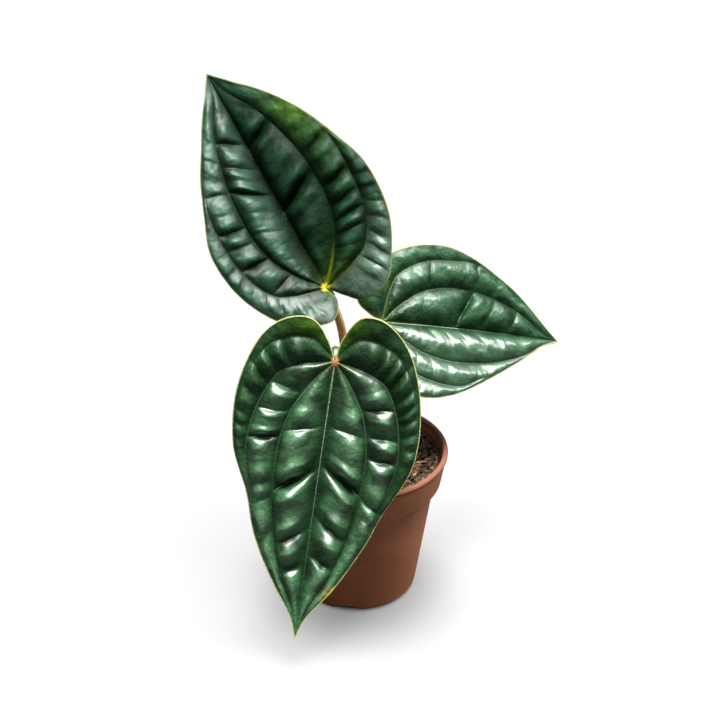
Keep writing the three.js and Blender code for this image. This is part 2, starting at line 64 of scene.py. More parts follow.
Pair = tuple[float, float]
Triple = tuple[float, float, float]
Lanes = tuple[float, float, float, float]
Colour = tuple[float, float, float]
Piece = bpy.types.Object
Edge = bpy.types.MeshEdge
Tree = bpy.types.NodeTree
Socket = bpy.types.NodeSocket
Material = bpy.types.Material


class Slot(str, Enum):
    """The material slots of the record."""

    POT = "pot_plastic"
    MIX = "bark_mix"
    CROWN = "crown"
    PETIOLE = "petiole"
    BLADE = "blade"


def lerp(start: float, end: float, share: float) -> float:
    """Return the value a share of the way from start to end."""
    return start + (end - start) * share


def between(start: Pair, end: Pair, share: float) -> Pair:
    """Return the point a share of the way from start to end."""
    return lerp(start[0], end[0], share), lerp(start[1], end[1], share)


def smooth_step(low: float, high: float, value: float) -> float:
    """Return 0 below low, 1 above high and an even ease between them."""
    share = min(1.0, max(0.0, (value - low) / (high - low)))
    return share * share * (3 - 2 * share)


def bell(distance: float, reach: float) -> float:
    """Return 1 at no distance, falling to about a third at the reach."""
    return math.exp(-((distance / reach) ** 2))


def distances(places: Sequence[Pair], line: Sequence[Pair]) -> list[float]:
    """Measure how far many places lie from a line.

    Args:
        places: The places, along and out.
        line: The points of the line, close together.

    Returns:
        The distance of each place from the nearest point of the line.
    """
    tree = KDTree(len(line))
    for index, point in enumerate(line):
        tree.insert((*point, 0.0), index)
    tree.balance()
    return [tree.find((*place, 0.0))[2] for place in places]


def linear(*display: int) -> Colour:
    """Return a linear colour from its display red, green and blue, each 0 to 255."""
    return tuple(Color([part / DISPLAY_WHITE for part in display]).from_srgb_to_scene_linear())


# Modelling by operators


MERGE_REACH = 1e-6


def clear_selection() -> None:
    """Deselect every object."""
    bpy.ops.object.select_all(action="DESELECT")


def pick(*pieces: Piece) -> None:
    """Make pieces the only ones selected, and the first one active.

    Args:
        *pieces: The objects to select.
    """
    clear_selection()
    for piece in pieces:
        piece.select_set(True)
    bpy.context.view_layer.objects.active = pieces[0]


@contextmanager
def editing(piece: Piece) -> Iterator[None]:
    """Hold a piece in edit mode with all of it selected, then leave that mode.

    Args:
        piece: The mesh object to edit.
    """
    pick(piece)
    bpy.ops.object.mode_set(mode="EDIT")
    bpy.ops.mesh.select_all(action="SELECT")
    yield
    bpy.ops.object.mode_set(mode="OBJECT")


@contextmanager
def chosen_edges(piece: Piece, chosen: Callable[[Edge], bool]) -> Iterator[None]:
    """Hold a piece in edit mode with the edges selected that pass a test, then leave that mode.

    Args:
        piece: The mesh object to edit.
        chosen: Tells whether an edge is selected.
    """
    with editing(piece):
        bpy.ops.mesh.select_mode(type="EDGE")
        bpy.ops.mesh.select_all(action="DESELECT")
    for edge in piece.data.edges:
        edge.select = chosen(edge)
    bpy.ops.object.mode_set(mode="EDIT")
    yield
    bpy.ops.mesh.select_mode(type="VERT")
    bpy.ops.object.mode_set(mode="OBJECT")


def newest(name: str) -> Piece:
    """Name the primitive that was just added.

    Args:
        name: The name for the object and its mesh.

    Returns:
        The object.
    """
    piece = bpy.context.object
    piece.name = name
    piece.data.name = name
    return piece


def merge_points(piece: Piece, reach: float = MERGE_REACH) -> None:
    """Merge the points of a piece that lie together."""
    with editing(piece):
        bpy.ops.mesh.remove_doubles(threshold=reach)


def face_outwards(piece: Piece) -> None:
    """Turn the faces of a closed piece to point outwards."""
    with editing(piece):
        bpy.ops.mesh.normals_make_consistent(inside=False)


def modify(piece: Piece, kind: str, **settings: object) -> None:
    """Give a piece a modifier and apply it.

    Args:
        piece: The mesh object.
        kind: The modifier's type.
        **settings: Its properties.
    """
    modifier = piece.modifiers.new(kind, kind)
    for name, value in settings.items():
        setattr(modifier, name, value)
    pick(piece)
    bpy.ops.object.modifier_apply(modifier=modifier.name)


def shade(piece: Piece, degrees: float = 180.0) -> None:
    """Shade a piece smooth.

    Args:
        piece: The mesh object.
        degrees: The angle between its faces past which an edge stays sharp.
    """
    pick(piece)
    if degrees >= 180:
        bpy.ops.object.shade_smooth()
    else:
        bpy.ops.object.shade_smooth_by_angle(angle=math.radians(degrees))


def move_points(piece: Piece, place: Callable[[Vector], Vector]) -> None:
    """Move every point of a piece to the place worked out from where it is.

    Args:
        piece: The mesh object, which sits at the origin.
        place: Gives a point's new place, in metres, from its old one.
    """
    for point in piece.data.vertices:
        point.co = place(point.co.copy())
    piece.data.update()


def join(pieces: Sequence[Piece], name: str) -> Piece:
    """Join pieces into one object.

    Args:
        pieces: The objects to join; the first one is kept.
        name: The name of the joined object.

    Returns:
        The joined object.
    """
    pick(*pieces)
    bpy.ops.object.join()
    return newest(name)


def cut_away(piece: Piece, cutter: Piece) -> None:
    """Cut the second of two closed solids out of the first and remove it."""
    modify(piece, "BOOLEAN", operation="DIFFERENCE", solver="EXACT", object=cutter)
    bpy.data.objects.remove(cutter)


LONGEST_ARM = 0.45


def rounded(profile: Sequence[Triple], steps: int = 4) -> list[Pair]:
    """Round the corners of a profile.

    Args:
        profile: Corners as radius, height and how far the rounding starts from the corner.
        steps: The steps round each corner.

    Returns:
        The points of the rounded profile, as radius and height.
    """
    points: list[Pair] = []
    last = len(profile) - 1
    for index, (radius, height, reach) in enumerate(profile):
        corner = Vector((radius, height))
        if reach <= 0 or index in (0, last):
            points.append((radius, height))
            continue
        arms = []
        for other in (profile[index - 1], profile[index + 1]):
            arm = Vector(other[:2]) - corner
            arms.append(arm.normalized() * min(reach, arm.length * LONGEST_ARM))
        for step in range(steps + 1):
            share = step / steps
            point = corner + arms[0] * (1 - share) ** 2 + arms[1] * share**2
            points.append((point.x, point.y))
    return points


def spun(name: str, profile: Sequence[Pair], segments: int) -> Piece:
    """Spin a profile round the upright axis into a closed solid.

    Args:
        name: The name of the piece.
        profile: Points as radius and height in millimetres, from the axis to the axis.
        segments: The steps of the full turn.

    Returns:
        The new piece.
    """
    clear_selection()
    bpy.ops.mesh.primitive_circle_add(vertices=len(profile), radius=1)
    piece = newest(name)
    for point, (radius, height) in zip(piece.data.vertices, profile):
        point.co = Vector((radius, 0, height)) * MM
    closing = {0, len(profile) - 1}
    with chosen_edges(piece, lambda edge: set(edge.vertices) == closing):
        bpy.ops.mesh.delete(type="EDGE")
    with editing(piece):
        bpy.ops.mesh.spin(steps=segments, angle=math.tau, center=(0, 0, 0), axis=(0, 0, 1))
    merge_points(piece)
    face_outwards(piece)
    return piece


LEAST_GAP = 1e-4


class SmoothPath:
    """A centripetal curve through points, walked by its length."""

    FINENESS = 32

    def __init__(self, points: Sequence[Vector]) -> None:
        """Sample the curve.

        Args:
            points: The points that the curve passes, in millimetres.
        """
        self.samples: list[Vector] = []
        for cell in range(len(points) - 1):
            start, end = points[cell], points[cell + 1]
            before = points[cell - 1] if cell else start * 2 - end
            after = points[cell + 2] if cell + 2 < len(points) else end * 2 - start
            for step in range(self.FINENESS):
                self.samples.append(self._point((before, start, end, after), step / self.FINENESS))
        self.samples.append(points[-1].copy())
        self.reach = [0.0]
        for first, second in zip(self.samples, self.samples[1:]):
            self.reach.append(self.reach[-1] + (second - first).length)
        self.length = self.reach[-1]

    @staticmethod
    def _point(points: Sequence[Vector], share: float) -> Vector:
        """Return a point of one stretch.

        Args:
            points: The point before the stretch, its start, its end and the point after it.
            share: The share of the way from start to end.

        Returns:
            The point.
        """
        before, start, end, after = points
        gaps = [max(LEAST_GAP, math.sqrt((b - a).length)) for a, b in zip(points, points[1:])]
        leave = (start - before) / gaps[0] - (end - before) / (gaps[0] + gaps[1]) + (end - start) / gaps[1]
        arrive = (end - start) / gaps[1] - (after - start) / (gaps[1] + gaps[2]) + (after - end) / gaps[2]
        leave *= gaps[1]
        arrive *= gaps[1]
        square = (end - start) * 3 - leave * 2 - arrive
        cube = (start - end) * 2 + leave + arrive
        return start + leave * share + square * share**2 + cube * share**3

    def at(self, share: float) -> Vector:
        """Return the point a share of the length along the curve.

        Args:
            share: The share, 0 at the start.

        Returns:
            The point, between the two nearest samples.
        """
        goal = share * self.length
        low = min(len(self.reach) - 2, bisect_right(self.reach, goal) - 1)
        passed, span = goal - self.reach[low], self.reach[low + 1] - self.reach[low]
        return self.samples[low].lerp(self.samples[low + 1], passed / span)

    def frames(self, steps: int) -> list[tuple[Vector, Vector, Vector]]:
        """Return a point and two untwisted spokes at even steps.

        Args:
            steps: The number of steps along the curve.

        Returns:
            One centre, side and lift for each step from 0 to steps.
        """
        centres = [self.at(step / steps) for step in range(steps + 1)]
        side = Vector((1, 0, 0))
        result = []
        for index, centre in enumerate(centres):
            run = centres[min(steps, index + 1)] - centres[max(0, index - 1)]
            run.normalize()
            side = (side - run * side.dot(run)).normalized()
            result.append((centre, side.copy(), run.cross(side)))
        return result


def tube(
    name: str, path: SmoothPath, radii: Callable[[float, float], Pair], steps: int, sides: int
) -> Piece:
    """Stretch a cylinder along a path.

    Args:
        name: The name of the piece.
        path: The path, in millimetres.
        radii: Gives the two half widths in millimetres at a share of the length and an angle.
        steps: The rings along the path.
        sides: The sides round it.

    Returns:
        The new piece, with the attribute "stalk": share of length, turn and radius.
    """
    clear_selection()
    bpy.ops.mesh.primitive_cylinder_add(vertices=sides, radius=1, depth=1)
    piece = newest(name)
    points = piece.data.vertices

    def upright(edge: Edge) -> bool:
        """Tell the edges that run from end to end."""
        return abs(points[edge.vertices[0]].co.z - points[edge.vertices[1]].co.z) > 0.5

    with chosen_edges(piece, upright):
        bpy.ops.mesh.subdivide(number_cuts=steps - 1)
    rings = path.frames(steps)
    stalk: list[float] = []
    for point in piece.data.vertices:
        share = point.co.z + 0.5
        angle = math.atan2(point.co.y, point.co.x)
        centre, side, lift = rings[round(share * steps)]
        wide, tall = radii(share, angle)
        spoke = side * wide * math.cos(angle) + lift * tall * math.sin(angle)
        point.co = (centre + spoke) * MM
        stalk += [share * path.length, angle / math.tau, wide]
    mark_points(piece, "stalk", stalk)
    face_outwards(piece)
    return piece


def mark_points(piece: Piece, name: str, values: Sequence[float]) -> None:
    """Keep three numbers for each point of a piece in an attribute.

    Args:
        piece: The mesh object.
        name: The attribute's name, which the finishes read.
        values: Three numbers for each point, one point after another.
    """
    attribute = piece.data.attributes.new(name, "FLOAT_VECTOR", "POINT")
    attribute.data.foreach_set("vector", values)


# Shader nodes


class Span(NamedTuple):
    """How a value eases from the range low to high into the range start to end."""

    low: float
    high: float
    start: float = 0.0
    end: float = 1.0


class Speckle(NamedTuple):
    """Smooth noise of a scale per unit, eased by a span."""

    scale: float
    span: Span
    detail: float = 3.0


class Bench:
    """Adds nodes to one tree and joins their sockets."""

    ROUGHNESS = 0.55

    def __init__(self, tree: Tree) -> None:
        """Keep the tree that the nodes are added to."""
        self.tree = tree

    def node(self, kind: str, **settings: object) -> bpy.types.Node:
        """Add a node and set its properties.

        Args:
            kind: The node's type, without the words ShaderNode.
            **settings: Properties to set on it.

        Returns:
            The new node.
        """
        node = self.tree.nodes.new(kind if kind.startswith("NodeGroup") else f"ShaderNode{kind}")
        for name, value in settings.items():
            setattr(node, name, value)
        return node

    def feed(self, socket: Socket, value: object) -> None:
        """Join a socket to another one, or set it to a plain value.

        Args:
            socket: The input to feed.
            value: The other socket, or the value.
        """
        if isinstance(value, Socket):
            self.tree.links.new(value, socket)
        elif isinstance(value, tuple) and socket.type == "RGBA" and len(value) == 3:
            socket.default_value = (*value, 1.0)
        else:
            socket.default_value = value

    def fed(self, kind: str, inputs: dict[int | str, object], **settings: object) -> bpy.types.Node:
        """Add a node and feed its inputs.

        Args:
            kind: The node's type, without the words ShaderNode.
            inputs: What feeds each input, by its number or its name.
            **settings: Properties to set on it.

        Returns:
            The new node.
        """
        node = self.node(kind, **settings)
        for key, value in inputs.items():
            self.feed(node.inputs[key], value)
        return node

    def math(self, operation: str, first: object, second: object, clamp: bool = False) -> Socket:
        """Return the result of a sum of two values."""
        return self.fed("Math", {0: first, 1: second}, operation=operation, use_clamp=clamp).outputs[0]

    def product(self, *factors: object, clamp: bool = False) -> Socket:
        """Return the product of values, held between 0 and 1 where clamp is set."""
        return reduce(lambda first, second: self.math("MULTIPLY", first, second, clamp), factors)

    def most(self, *values: object) -> Socket:
        """Return the largest of some values."""
        return reduce(lambda first, second: self.math("MAXIMUM", first, second), values)

    def mix(self, share: object, first: object, second: object, kind: str = "MIX") -> Socket:
        """Return the mix of two colours by a share."""
        inputs = {0: share, 6: first, 7: second}
        return self.fed("Mix", inputs, data_type="RGBA", blend_type=kind).outputs[2]

    def layered(self, colour: object, *layers: tuple[object, object]) -> Socket:
        """Return a colour under layers, each a share and a colour, the first one lowest."""
        return reduce(lambda below, layer: self.mix(layer[0], below, layer[1]), layers, colour)

    def mottled(self, colour: Socket, share: Socket, dark: Colour, light: Colour) -> Socket:
        """Return a colour multiplied by a drift between two others."""
        return self.mix(1.0, colour, self.mix(share, dark, light), "MULTIPLY")

    def span(self, value: object, span: Sequence[object]) -> Socket:
        """Return a value eased by a span, whose result stays between its start and its end."""
        inputs = dict(enumerate((value, *span)))
        return self.fed("MapRange", inputs, interpolation_type="SMOOTHSTEP").outputs[0]

    def noise(self, vector: object, scale: object, detail: float = 3.0, rough: float = ROUGHNESS) -> Socket:
        """Return smooth noise of a scale per unit of the vector."""
        inputs = {"Vector": vector, "Scale": scale, "Detail": detail, "Roughness": rough}
        return self.fed("TexNoise", inputs).outputs["Fac"]

    def speckle(self, vector: object, speckle: Speckle, rough: float = ROUGHNESS) -> Socket:
        """Return a speckle over a vector."""
        return self.span(self.noise(vector, speckle.scale, speckle.detail, rough), speckle.span)

    def scaled(self, vector: object, factors: Triple) -> Socket:
        """Return a vector multiplied part by part."""
        return self.fed("VectorMath", {0: vector, 1: factors}, operation="MULTIPLY").outputs[0]

    def parts(self, vector: object) -> list[Socket]:
        """Return the three parts of a vector."""
        return list(self.fed("SeparateXYZ", {0: vector}).outputs)

    def marked(self, name: str) -> Socket:
        """Return the vector that a piece keeps in an attribute."""
        return self.node("Attribute", attribute_name=name).outputs["Vector"]

    def object_place(self) -> Socket:
        """Return the place on the object, in metres."""
        return self.node("TexCoord").outputs["Object"]

    def leaf_place(self) -> Socket:
        """Return the place on a blade's flat net, in millimetres."""
        return self.scaled(self.marked("leaf_place"), (1, 1, 0))

    def leaf(self) -> SimpleNamespace:
        """Return all that a blade keeps with its points, by name, and its flat place."""
        sockets = {}
        for name, parts in LEAF_MARKS.items():
            sockets.update(zip(parts, self.parts(self.marked(name))))
        return SimpleNamespace(flat=self.leaf_place(), **sockets)


class Effects:
    """The effects that more than one finish uses, each a node group that is built once."""

    WHITE = (1.0, 1.0, 1.0, 1.0)
    NOWHERE = (0.0, 0.0, 0.0)
    DRIFT = Span(0.32, 0.68)
    DRIFT_DETAIL = 4.0
    GRAIN_DETAIL = 2.0
    EVEN = 0.5
    FINE_SHARE = 0.35
    WANDER_SCALE = 0.3
    EDGE = Span(0.015, 0.09, 1.0, 0.0)
    CROWN = Span(0.0, 0.32)

    def __init__(self) -> None:
        """Build the groups."""
        vector = {"Vector": self.NOWHERE}
        colours = {"First": self.WHITE, "Second": self.WHITE}
        self.line = self._group("drawn_line", {"Distance": 1.0, "Width": 0.4, "Softness": 0.4}, self._line)
        self.drift = self._group("colour_drift", {**vector, "Scale": 1.0, **colours}, self._drift)
        self.grain = self._group("fine_grain", {**vector, "Scale": 1.0, "Finer": 4.0}, self._grain)
        self.net = self._group("vein_net", {**vector, "Cells": 0.35, "Wander": 1.2}, self._net)

    @staticmethod
    def _group(name: str, inputs: dict[str, object], make: Callable[..., dict[str, Socket]]) -> Tree:
        """Build a group.

        Args:
            name: The group's name.
            inputs: Each input's name with its value where nothing feeds it.
            make: Adds the nodes and gives the outputs, from the bench and the inputs.

        Returns:
            The group.
        """
        tree = bpy.data.node_groups.new(name, "ShaderNodeTree")
        bench = Bench(tree)
        kinds = {4: "NodeSocketColor", 3: "NodeSocketVector", 1: "NodeSocketFloat"}
        for title, value in inputs.items():
            kind = kinds[len(value) if isinstance(value, tuple) else 1]
            tree.interface.new_socket(title, in_out="INPUT", socket_type=kind).default_value = value
        source = bench.node("NodeGroupInput")
        made = make(bench, *(source.outputs[title] for title in inputs))
        for title, socket in made.items():
            kind = kinds[4 if socket.type == "RGBA" else 1]
            tree.interface.new_socket(title, in_out="OUTPUT", socket_type=kind)
        bench.fed("NodeGroupOutput", made)
        return tree

    @staticmethod
    def _line(bench: Bench, distance: Socket, width: Socket, softness: Socket) -> dict[str, Socket]:
        """Draw a line where a distance is short."""
        edge = bench.math("ADD", width, softness)
        return {"Mask": bench.span(distance, (width, edge, 1.0, 0.0))}

    def _drift(
        self, bench: Bench, vector: Socket, scale: Socket, first: Socket, second: Socket
    ) -> dict[str, Socket]:
        """Drift between two colours."""
        mask = bench.span(bench.noise(vector, scale, self.DRIFT_DETAIL, self.EVEN), self.DRIFT)
        return {"Color": bench.mix(mask, first, second)}

    def _grain(self, bench: Bench, vector: Socket, scale: Socket, finer: Socket) -> dict[str, Socket]:
        """Give fine, uneven height, from broad noise and a share of finer noise."""
        broad, fine = (
            bench.noise(vector, size, self.GRAIN_DETAIL, self.EVEN)
            for size in (scale, bench.product(scale, finer))
        )
        return {"Height": bench.math("ADD", broad, bench.product(fine, self.FINE_SHARE))}

    def _net(self, bench: Bench, vector: Socket, cells: Socket, wander: Socket) -> dict[str, Socket]:
        """Draw the net of the finest veins, and the crowns between them."""
        drift = bench.fed("TexNoise", {"Vector": vector, "Scale": self.WANDER_SCALE}).outputs["Color"]
        pushed = bench.fed("VectorMath", {0: drift, 1: wander, 2: vector}, operation="MULTIPLY_ADD")
        inputs = {"Vector": pushed.outputs[0], "Scale": cells}
        settings = {"voronoi_dimensions": "2D", "feature": "DISTANCE_TO_EDGE"}
        distance = bench.fed("TexVoronoi", inputs, **settings).outputs["Distance"]
        return {"Edge": bench.span(distance, self.EDGE), "Crown": bench.span(distance, self.CROWN)}


class Surface(Bench):
    """A material under way: the bench of its tree, its shader and the shared effects."""

    GRAIN_RANGE = (0.4, 1.0)

    def __init__(self, name: str, effects: Effects | None = None) -> None:
        """Start a material with one shader."""
        self.material = bpy.data.materials.new(name)
        self.material.use_nodes = True
        self.material.node_tree.nodes.clear()
        super().__init__(self.material.node_tree)
        self.effects = effects
        self.shader = self.node("BsdfPrincipled")
        self.output = self.fed("OutputMaterial", {"Surface": self.shader.outputs[0]})

    def set(self, **values: object) -> None:
        """Set or join inputs of the shader, named with low lines for spaces."""
        for name, value in values.items():
            title = name.replace("_", " ").title().replace("Ior", "IOR")
            self.feed(self.shader.inputs[title], value)

    def bump(self, height: Socket, distance: float) -> None:
        """Bump the surface by a height, whose 1 stands for a distance in metres."""
        inputs = {"Strength": 1.0, "Distance": distance, "Height": height}
        self.set(normal=self.fed("Bump", inputs).outputs[0])

    def effect(self, name: str, **values: object) -> bpy.types.bpy_prop_collection:
        """Place a shared effect.

        Args:
            name: The effect's name.
            **values: What feeds its inputs, by their names in small letters.

        Returns:
            Its outputs.
        """
        inputs = {title.title(): value for title, value in values.items()}
        return self.fed("Group", inputs, node_tree=getattr(self.effects, name)).outputs

    def line(self, distance: Socket, width: object, softness: float) -> Socket:
        """Return the mask of a line, drawn where a distance is short."""
        return self.effect("line", distance=distance, width=width, softness=softness)[0]

    def drift(self, vector: Socket, scale: float, first: Colour, second: Colour) -> Socket:
        """Return a colour that drifts between two others."""
        return self.effect("drift", vector=vector, scale=scale, first=first, second=second)[0]

    def grain(self, vector: Socket, scale: float, finer: float = 3.0) -> Socket:
        """Return fine, uneven height."""
        return self.effect("grain", vector=vector, scale=scale, finer=finer)[0]

    def roughen(self, vector: Socket, scale: float, rough: Pair, height: float) -> None:
        """Give the surface a grain that varies its roughness and bumps it.

        Args:
            vector: The place that the grain follows.
            scale: The grain's scale.
            rough: The least and the greatest roughness.
            height: What a grain of 1 stands for, in metres.
        """
        grain = self.grain(vector, scale)
        self.set(roughness=self.span(grain, (*self.GRAIN_RANGE, *rough)))
        self.bump(grain, height)


@dataclass(frozen=True)
class Finish:
    """A finish: a named material, which its paint method sets."""

    name: str

    def material(self, effects: Effects) -> Material:
        """Return the material."""
        skin = Surface(self.name, effects)
        self.paint(skin)
        return skin.material

    def paint(self, skin: Surface) -> None:
        """Set the skin, in each finish its own way."""
        raise NotImplementedError


@dataclass(frozen=True)
class BladeFinish(Finish):
    """The glossy, deep green face of a blade.

    The fields of the halves hold the minus half's share and the plus half's. The reaches and the
    spans of the joint, the margin and the veins read the distance to them in millimetres.
    """

    deep: Colour = linear(16, 42, 20)
    full: Colour = linear(60, 112, 66)
    # Painted sheen: the paler green laid on the raised crests of the pillows
    crest_sheen: Colour = linear(102, 146, 106)
    groove: Colour = linear(20, 46, 24)
    silver: Colour = linear(186, 198, 176)
    margin: Colour = linear(196, 196, 128)
    # Painted light: the yellow-green of light shining through the blade from behind
    shine_through: Colour = linear(82, 124, 22)
    fan: Colour = linear(146, 160, 44)
    joint: Colour = linear(222, 150, 104)
    yellowing: Colour = linear(206, 190, 60)
    # Painted light on the lobes: this dark green is painted shade; the top blade's pale one is a painted
    # reflection
    lobe_shade_and_sheen: Colour = linear(20, 50, 22)
    speck_dark: Colour = (0.76, 0.78, 0.76)
    speck_light: Colour = (1.24, 1.2, 1.22)

    gloss: float = 0.42
    lobe_gloss: float = 0.52
    coat: float = 1.0
    lobe_coat: float = 0.65
    coat_gloss: float = 0.33
    coat_ior: float = 1.65
    shine: float = 0.08
    grain: float = 0.00013

    lobe_reach: Pair = (200.0, 300.0)
    lobe_shine: float = 0.32
    half_shine: Pair = (1.0, 1.0)
    # Painted shade on each half's inner lanes, the minus half's share first
    half_shade: Pair = (0.0, 0.0)
    half_fan: Pair = (1.0, 1.0)
    # How much of the lobes' painted shade and sheen each half takes
    half_lobe_shade_and_sheen: Pair = (0.6, 0.7)
    half_blend: float = 1.5
    fan_blend: float = 0.6
    # Painted shade: the blade darkens towards its deep green near the joint
    base_reach: Pair = (3.0, 26.0)
    base_shade: float = 0.55
    fan_share: float = 0.1
    vein_silver: float = 0.2
    spine_silver: float = 0.8
    net_share: float = 0.35
    rib_share: float = 0.4
    line_share: float = 0.7
    margin_share: float = 0.85

    net: Pair = (0.36, 1.5)
    fine_net: Pair = (0.95, 0.8)
    net_heights: Pair = (0.6, 0.3)
    height_scale: float = 0.45
    height_detail: float = 2.0
    drift_scale: float = 0.11
    vein_line: Pair = (0.06, 0.28)
    rib_line: Pair = (0.05, 0.4)
    margin_line: Pair = (0.28, 0.3)
    spine_softness: float = 0.2

    # Painted sheen: how the relief lays the crest colour on the raised crests
    sheen_on_crests: Span = Span(0.5, 1.0, 0.0, 0.7)
    # Painted shade: how the relief lays the deep green in the low grooves
    shade_in_grooves: Span = Span(0.0, 0.55, 0.75, 0.0)
    inner_lanes: Span = Span(0.0, 0.5, 1.0, 0.0)
    lobe_lanes: Span = Span(0.5, 1.0)
    speck: Speckle = Speckle(1.2, Span(0.3, 0.7), 4)
    speck_rough: float = 0.65
    glow_margin: Span = Span(0.2, 3.0, 0.45, 1.0)
    glow_patch: Speckle = Speckle(0.18, Span(0.3, 0.56, 0.2, 1.0))
    spine_width: Span = Span(0.0, 0.5, 0.2, 0.03)
    vein_end: Span = Span(0.76, 0.92, 1.0, 0.0)
    vein_fade: Span = Span(0.12, 0.6, 0.8, 0.0)
    spine_fade: Span = Span(0.2, 0.85, 0.85, 0.12)
    fleck_scale: float = 1.5
    fleck_range: Triple = (0.38, 0.6, 0.3)
    fan_near: Span = Span(4.0, 24.0, 1.0, 0.0)
    fan_line: Span = Span(0.2, 1.2, 1.0, 0.0)
    fan_middle: Span = Span(2.0, 7.0, 0.7, 0.0)
    worn_patch: Speckle = Speckle(0.9, Span(0.3, 0.5))
    joint_end: Span = Span(1.1, 2.6, 1.0, 0.0)
    mottle: Speckle = Speckle(0.7, Span(0.3, 0.7, -0.06, 0.1), 4)
    relief_shine: Span = Span(0.0, 0.5, 0.25, 1.0)
    glow_shine: Span = Span(0.0, 0.7, 1.0, 0.1)
    turned_shine: Span = Span(0.0, 0.6, 1.0, 0.4)
    joint_shine: Span = Span(3.0, 16.0, 0.3, 1.0)
    midrib_shine: Span = Span(0.5, 5.0, 0.35, 1.0)

    def paint(self, skin: Surface) -> None:
        """Paint the face: its colour, its gloss and its fine relief."""
        leaf = skin.leaf()
        leaf.net, leaf.fine = (
            skin.effect("net", vector=leaf.flat, cells=cells, wander=wander)
            for cells, wander in (self.net, self.fine_net)
        )
        # turned: the inner lanes that take painted shade, by their half's share
        leaf.turned = skin.product(
            skin.span(leaf.lane, self.inner_lanes), self.by_half(skin, leaf, self.half_shade)
        )
        leaf.lobe = skin.product(
            skin.span(leaf.lane, self.lobe_lanes), skin.span(leaf.along, (*self.lobe_reach, 1.0, 0.0))
        )
        # light: where light shining through is painted, kept off the margin
        leaf.light = skin.product(leaf.glow, skin.span(leaf.margin, self.glow_margin))
        gloss = skin.span(leaf.lobe, (0.0, 1.0, self.gloss, self.lobe_gloss))
        coat = skin.span(leaf.lobe, (0.0, 1.0, self.coat, self.lobe_coat))
        skin.set(
            base_color=self.colour(skin, leaf),
            roughness=skin.math("ADD", gloss, skin.speckle(leaf.flat, self.mottle)),
            coat_weight=skin.product(coat, self.open_sky(skin, leaf)),
            coat_roughness=self.coat_gloss,
            coat_ior=self.coat_ior,
            specular_ior_level=self.shine,
        )
        net_height, fine_height = self.net_heights
        cells = skin.math(
            "ADD",
            skin.product(leaf.net["Crown"], net_height),
            skin.product(leaf.fine["Crown"], fine_height),
        )
        rough = skin.noise(leaf.flat, self.height_scale, self.height_detail)
        skin.bump(skin.math("ADD", cells, rough), self.grain)

    def by_half(self, skin: Surface, leaf: SimpleNamespace, shares: Pair) -> Socket:
        """Return the minus half's share on that half and the plus half's on the other."""
        return skin.span(leaf.out, (-self.half_blend, self.half_blend, *shares))

    def colour(self, skin: Surface, leaf: SimpleNamespace) -> Socket:
        """Return the face's colour.

        Args:
            skin: The material under way.
            leaf: The blade's marks and masks.

        Returns:
            The colour, layered from the green field up to the joint.
        """
        field = skin.layered(
            skin.drift(leaf.flat, self.drift_scale, self.deep, self.full),
            # Painted sheen on the raised crests
            (skin.span(leaf.relief, self.sheen_on_crests), self.crest_sheen),
            # Painted shade in the low grooves
            (skin.span(leaf.relief, self.shade_in_grooves), self.deep),
            # Painted shade on the turned inner lanes
            (leaf.turned, self.deep),
            # Painted shade on the front blade's outer lanes, painted sheen on the top blade's lobes
            (skin.product(leaf.lobe, self.by_half(skin, leaf, self.half_lobe_shade_and_sheen)), self.lobe_shade_and_sheen),
            # Painted shade near the joint
            (skin.span(leaf.joint, (*self.base_reach, self.base_shade, 0.0)), self.deep),
        )
        specks = skin.speckle(leaf.flat, self.speck, self.speck_rough)
        # Painted light shining through from behind, in patches
        through = skin.product(leaf.light, skin.speckle(leaf.flat, self.glow_patch), clamp=True)
        veins = skin.line(leaf.vein, *self.vein_line)
        ribs = skin.line(leaf.rib, *self.rib_line)
        width = skin.span(leaf.length_share, self.spine_width)
        spine = skin.line(leaf.midrib, width, self.spine_softness)
        lines = skin.most(
            skin.product(veins, skin.span(leaf.length_share, self.vein_end)),
            skin.product(ribs, self.rib_share),
            spine,
        )
        silvered = skin.product(veins, skin.span(leaf.length_share, self.vein_fade), self.vein_silver)
        flecks = Speckle(self.fleck_scale, Span(*self.fleck_range, self.spine_silver))
        spine_silver = skin.product(
            spine, skin.span(leaf.length_share, self.spine_fade), skin.speckle(leaf.flat, flecks)
        )
        worn = skin.product(leaf.worn, skin.speckle(leaf.flat, self.worn_patch), clamp=True)
        return skin.layered(
            skin.mottled(field, specks, self.speck_dark, self.speck_light),
            (skin.product(leaf.net["Edge"], self.net_share), self.groove),
            (through, self.shine_through),
            (skin.product(lines, self.line_share), self.groove),
            (silvered, self.silver),
            (skin.product(self.fanned(skin, leaf), self.fan_share), self.fan),
            (spine_silver, self.silver),
            (worn, self.yellowing),
            (skin.product(skin.line(leaf.margin, *self.margin_line), self.margin_share), self.margin),
            (skin.span(leaf.joint, self.joint_end), self.joint),
        )

    def fanned(self, skin: Surface, leaf: SimpleNamespace) -> Socket:
        """Return the mask of the paler fan where the veins leave the joint.

        Args:
            skin: The material under way.
            leaf: The blade's marks and masks.

        Returns:
            The mask, 1 on the fan.
        """
        line = skin.most(*(skin.span(reach, self.fan_line) for reach in (leaf.vein, leaf.midrib)))
        return skin.product(
            skin.span(leaf.joint, self.fan_near),
            skin.most(line, skin.span(leaf.joint, self.fan_middle)),
            skin.span(leaf.out, (-self.fan_blend, self.fan_blend, *self.half_fan)),
        )

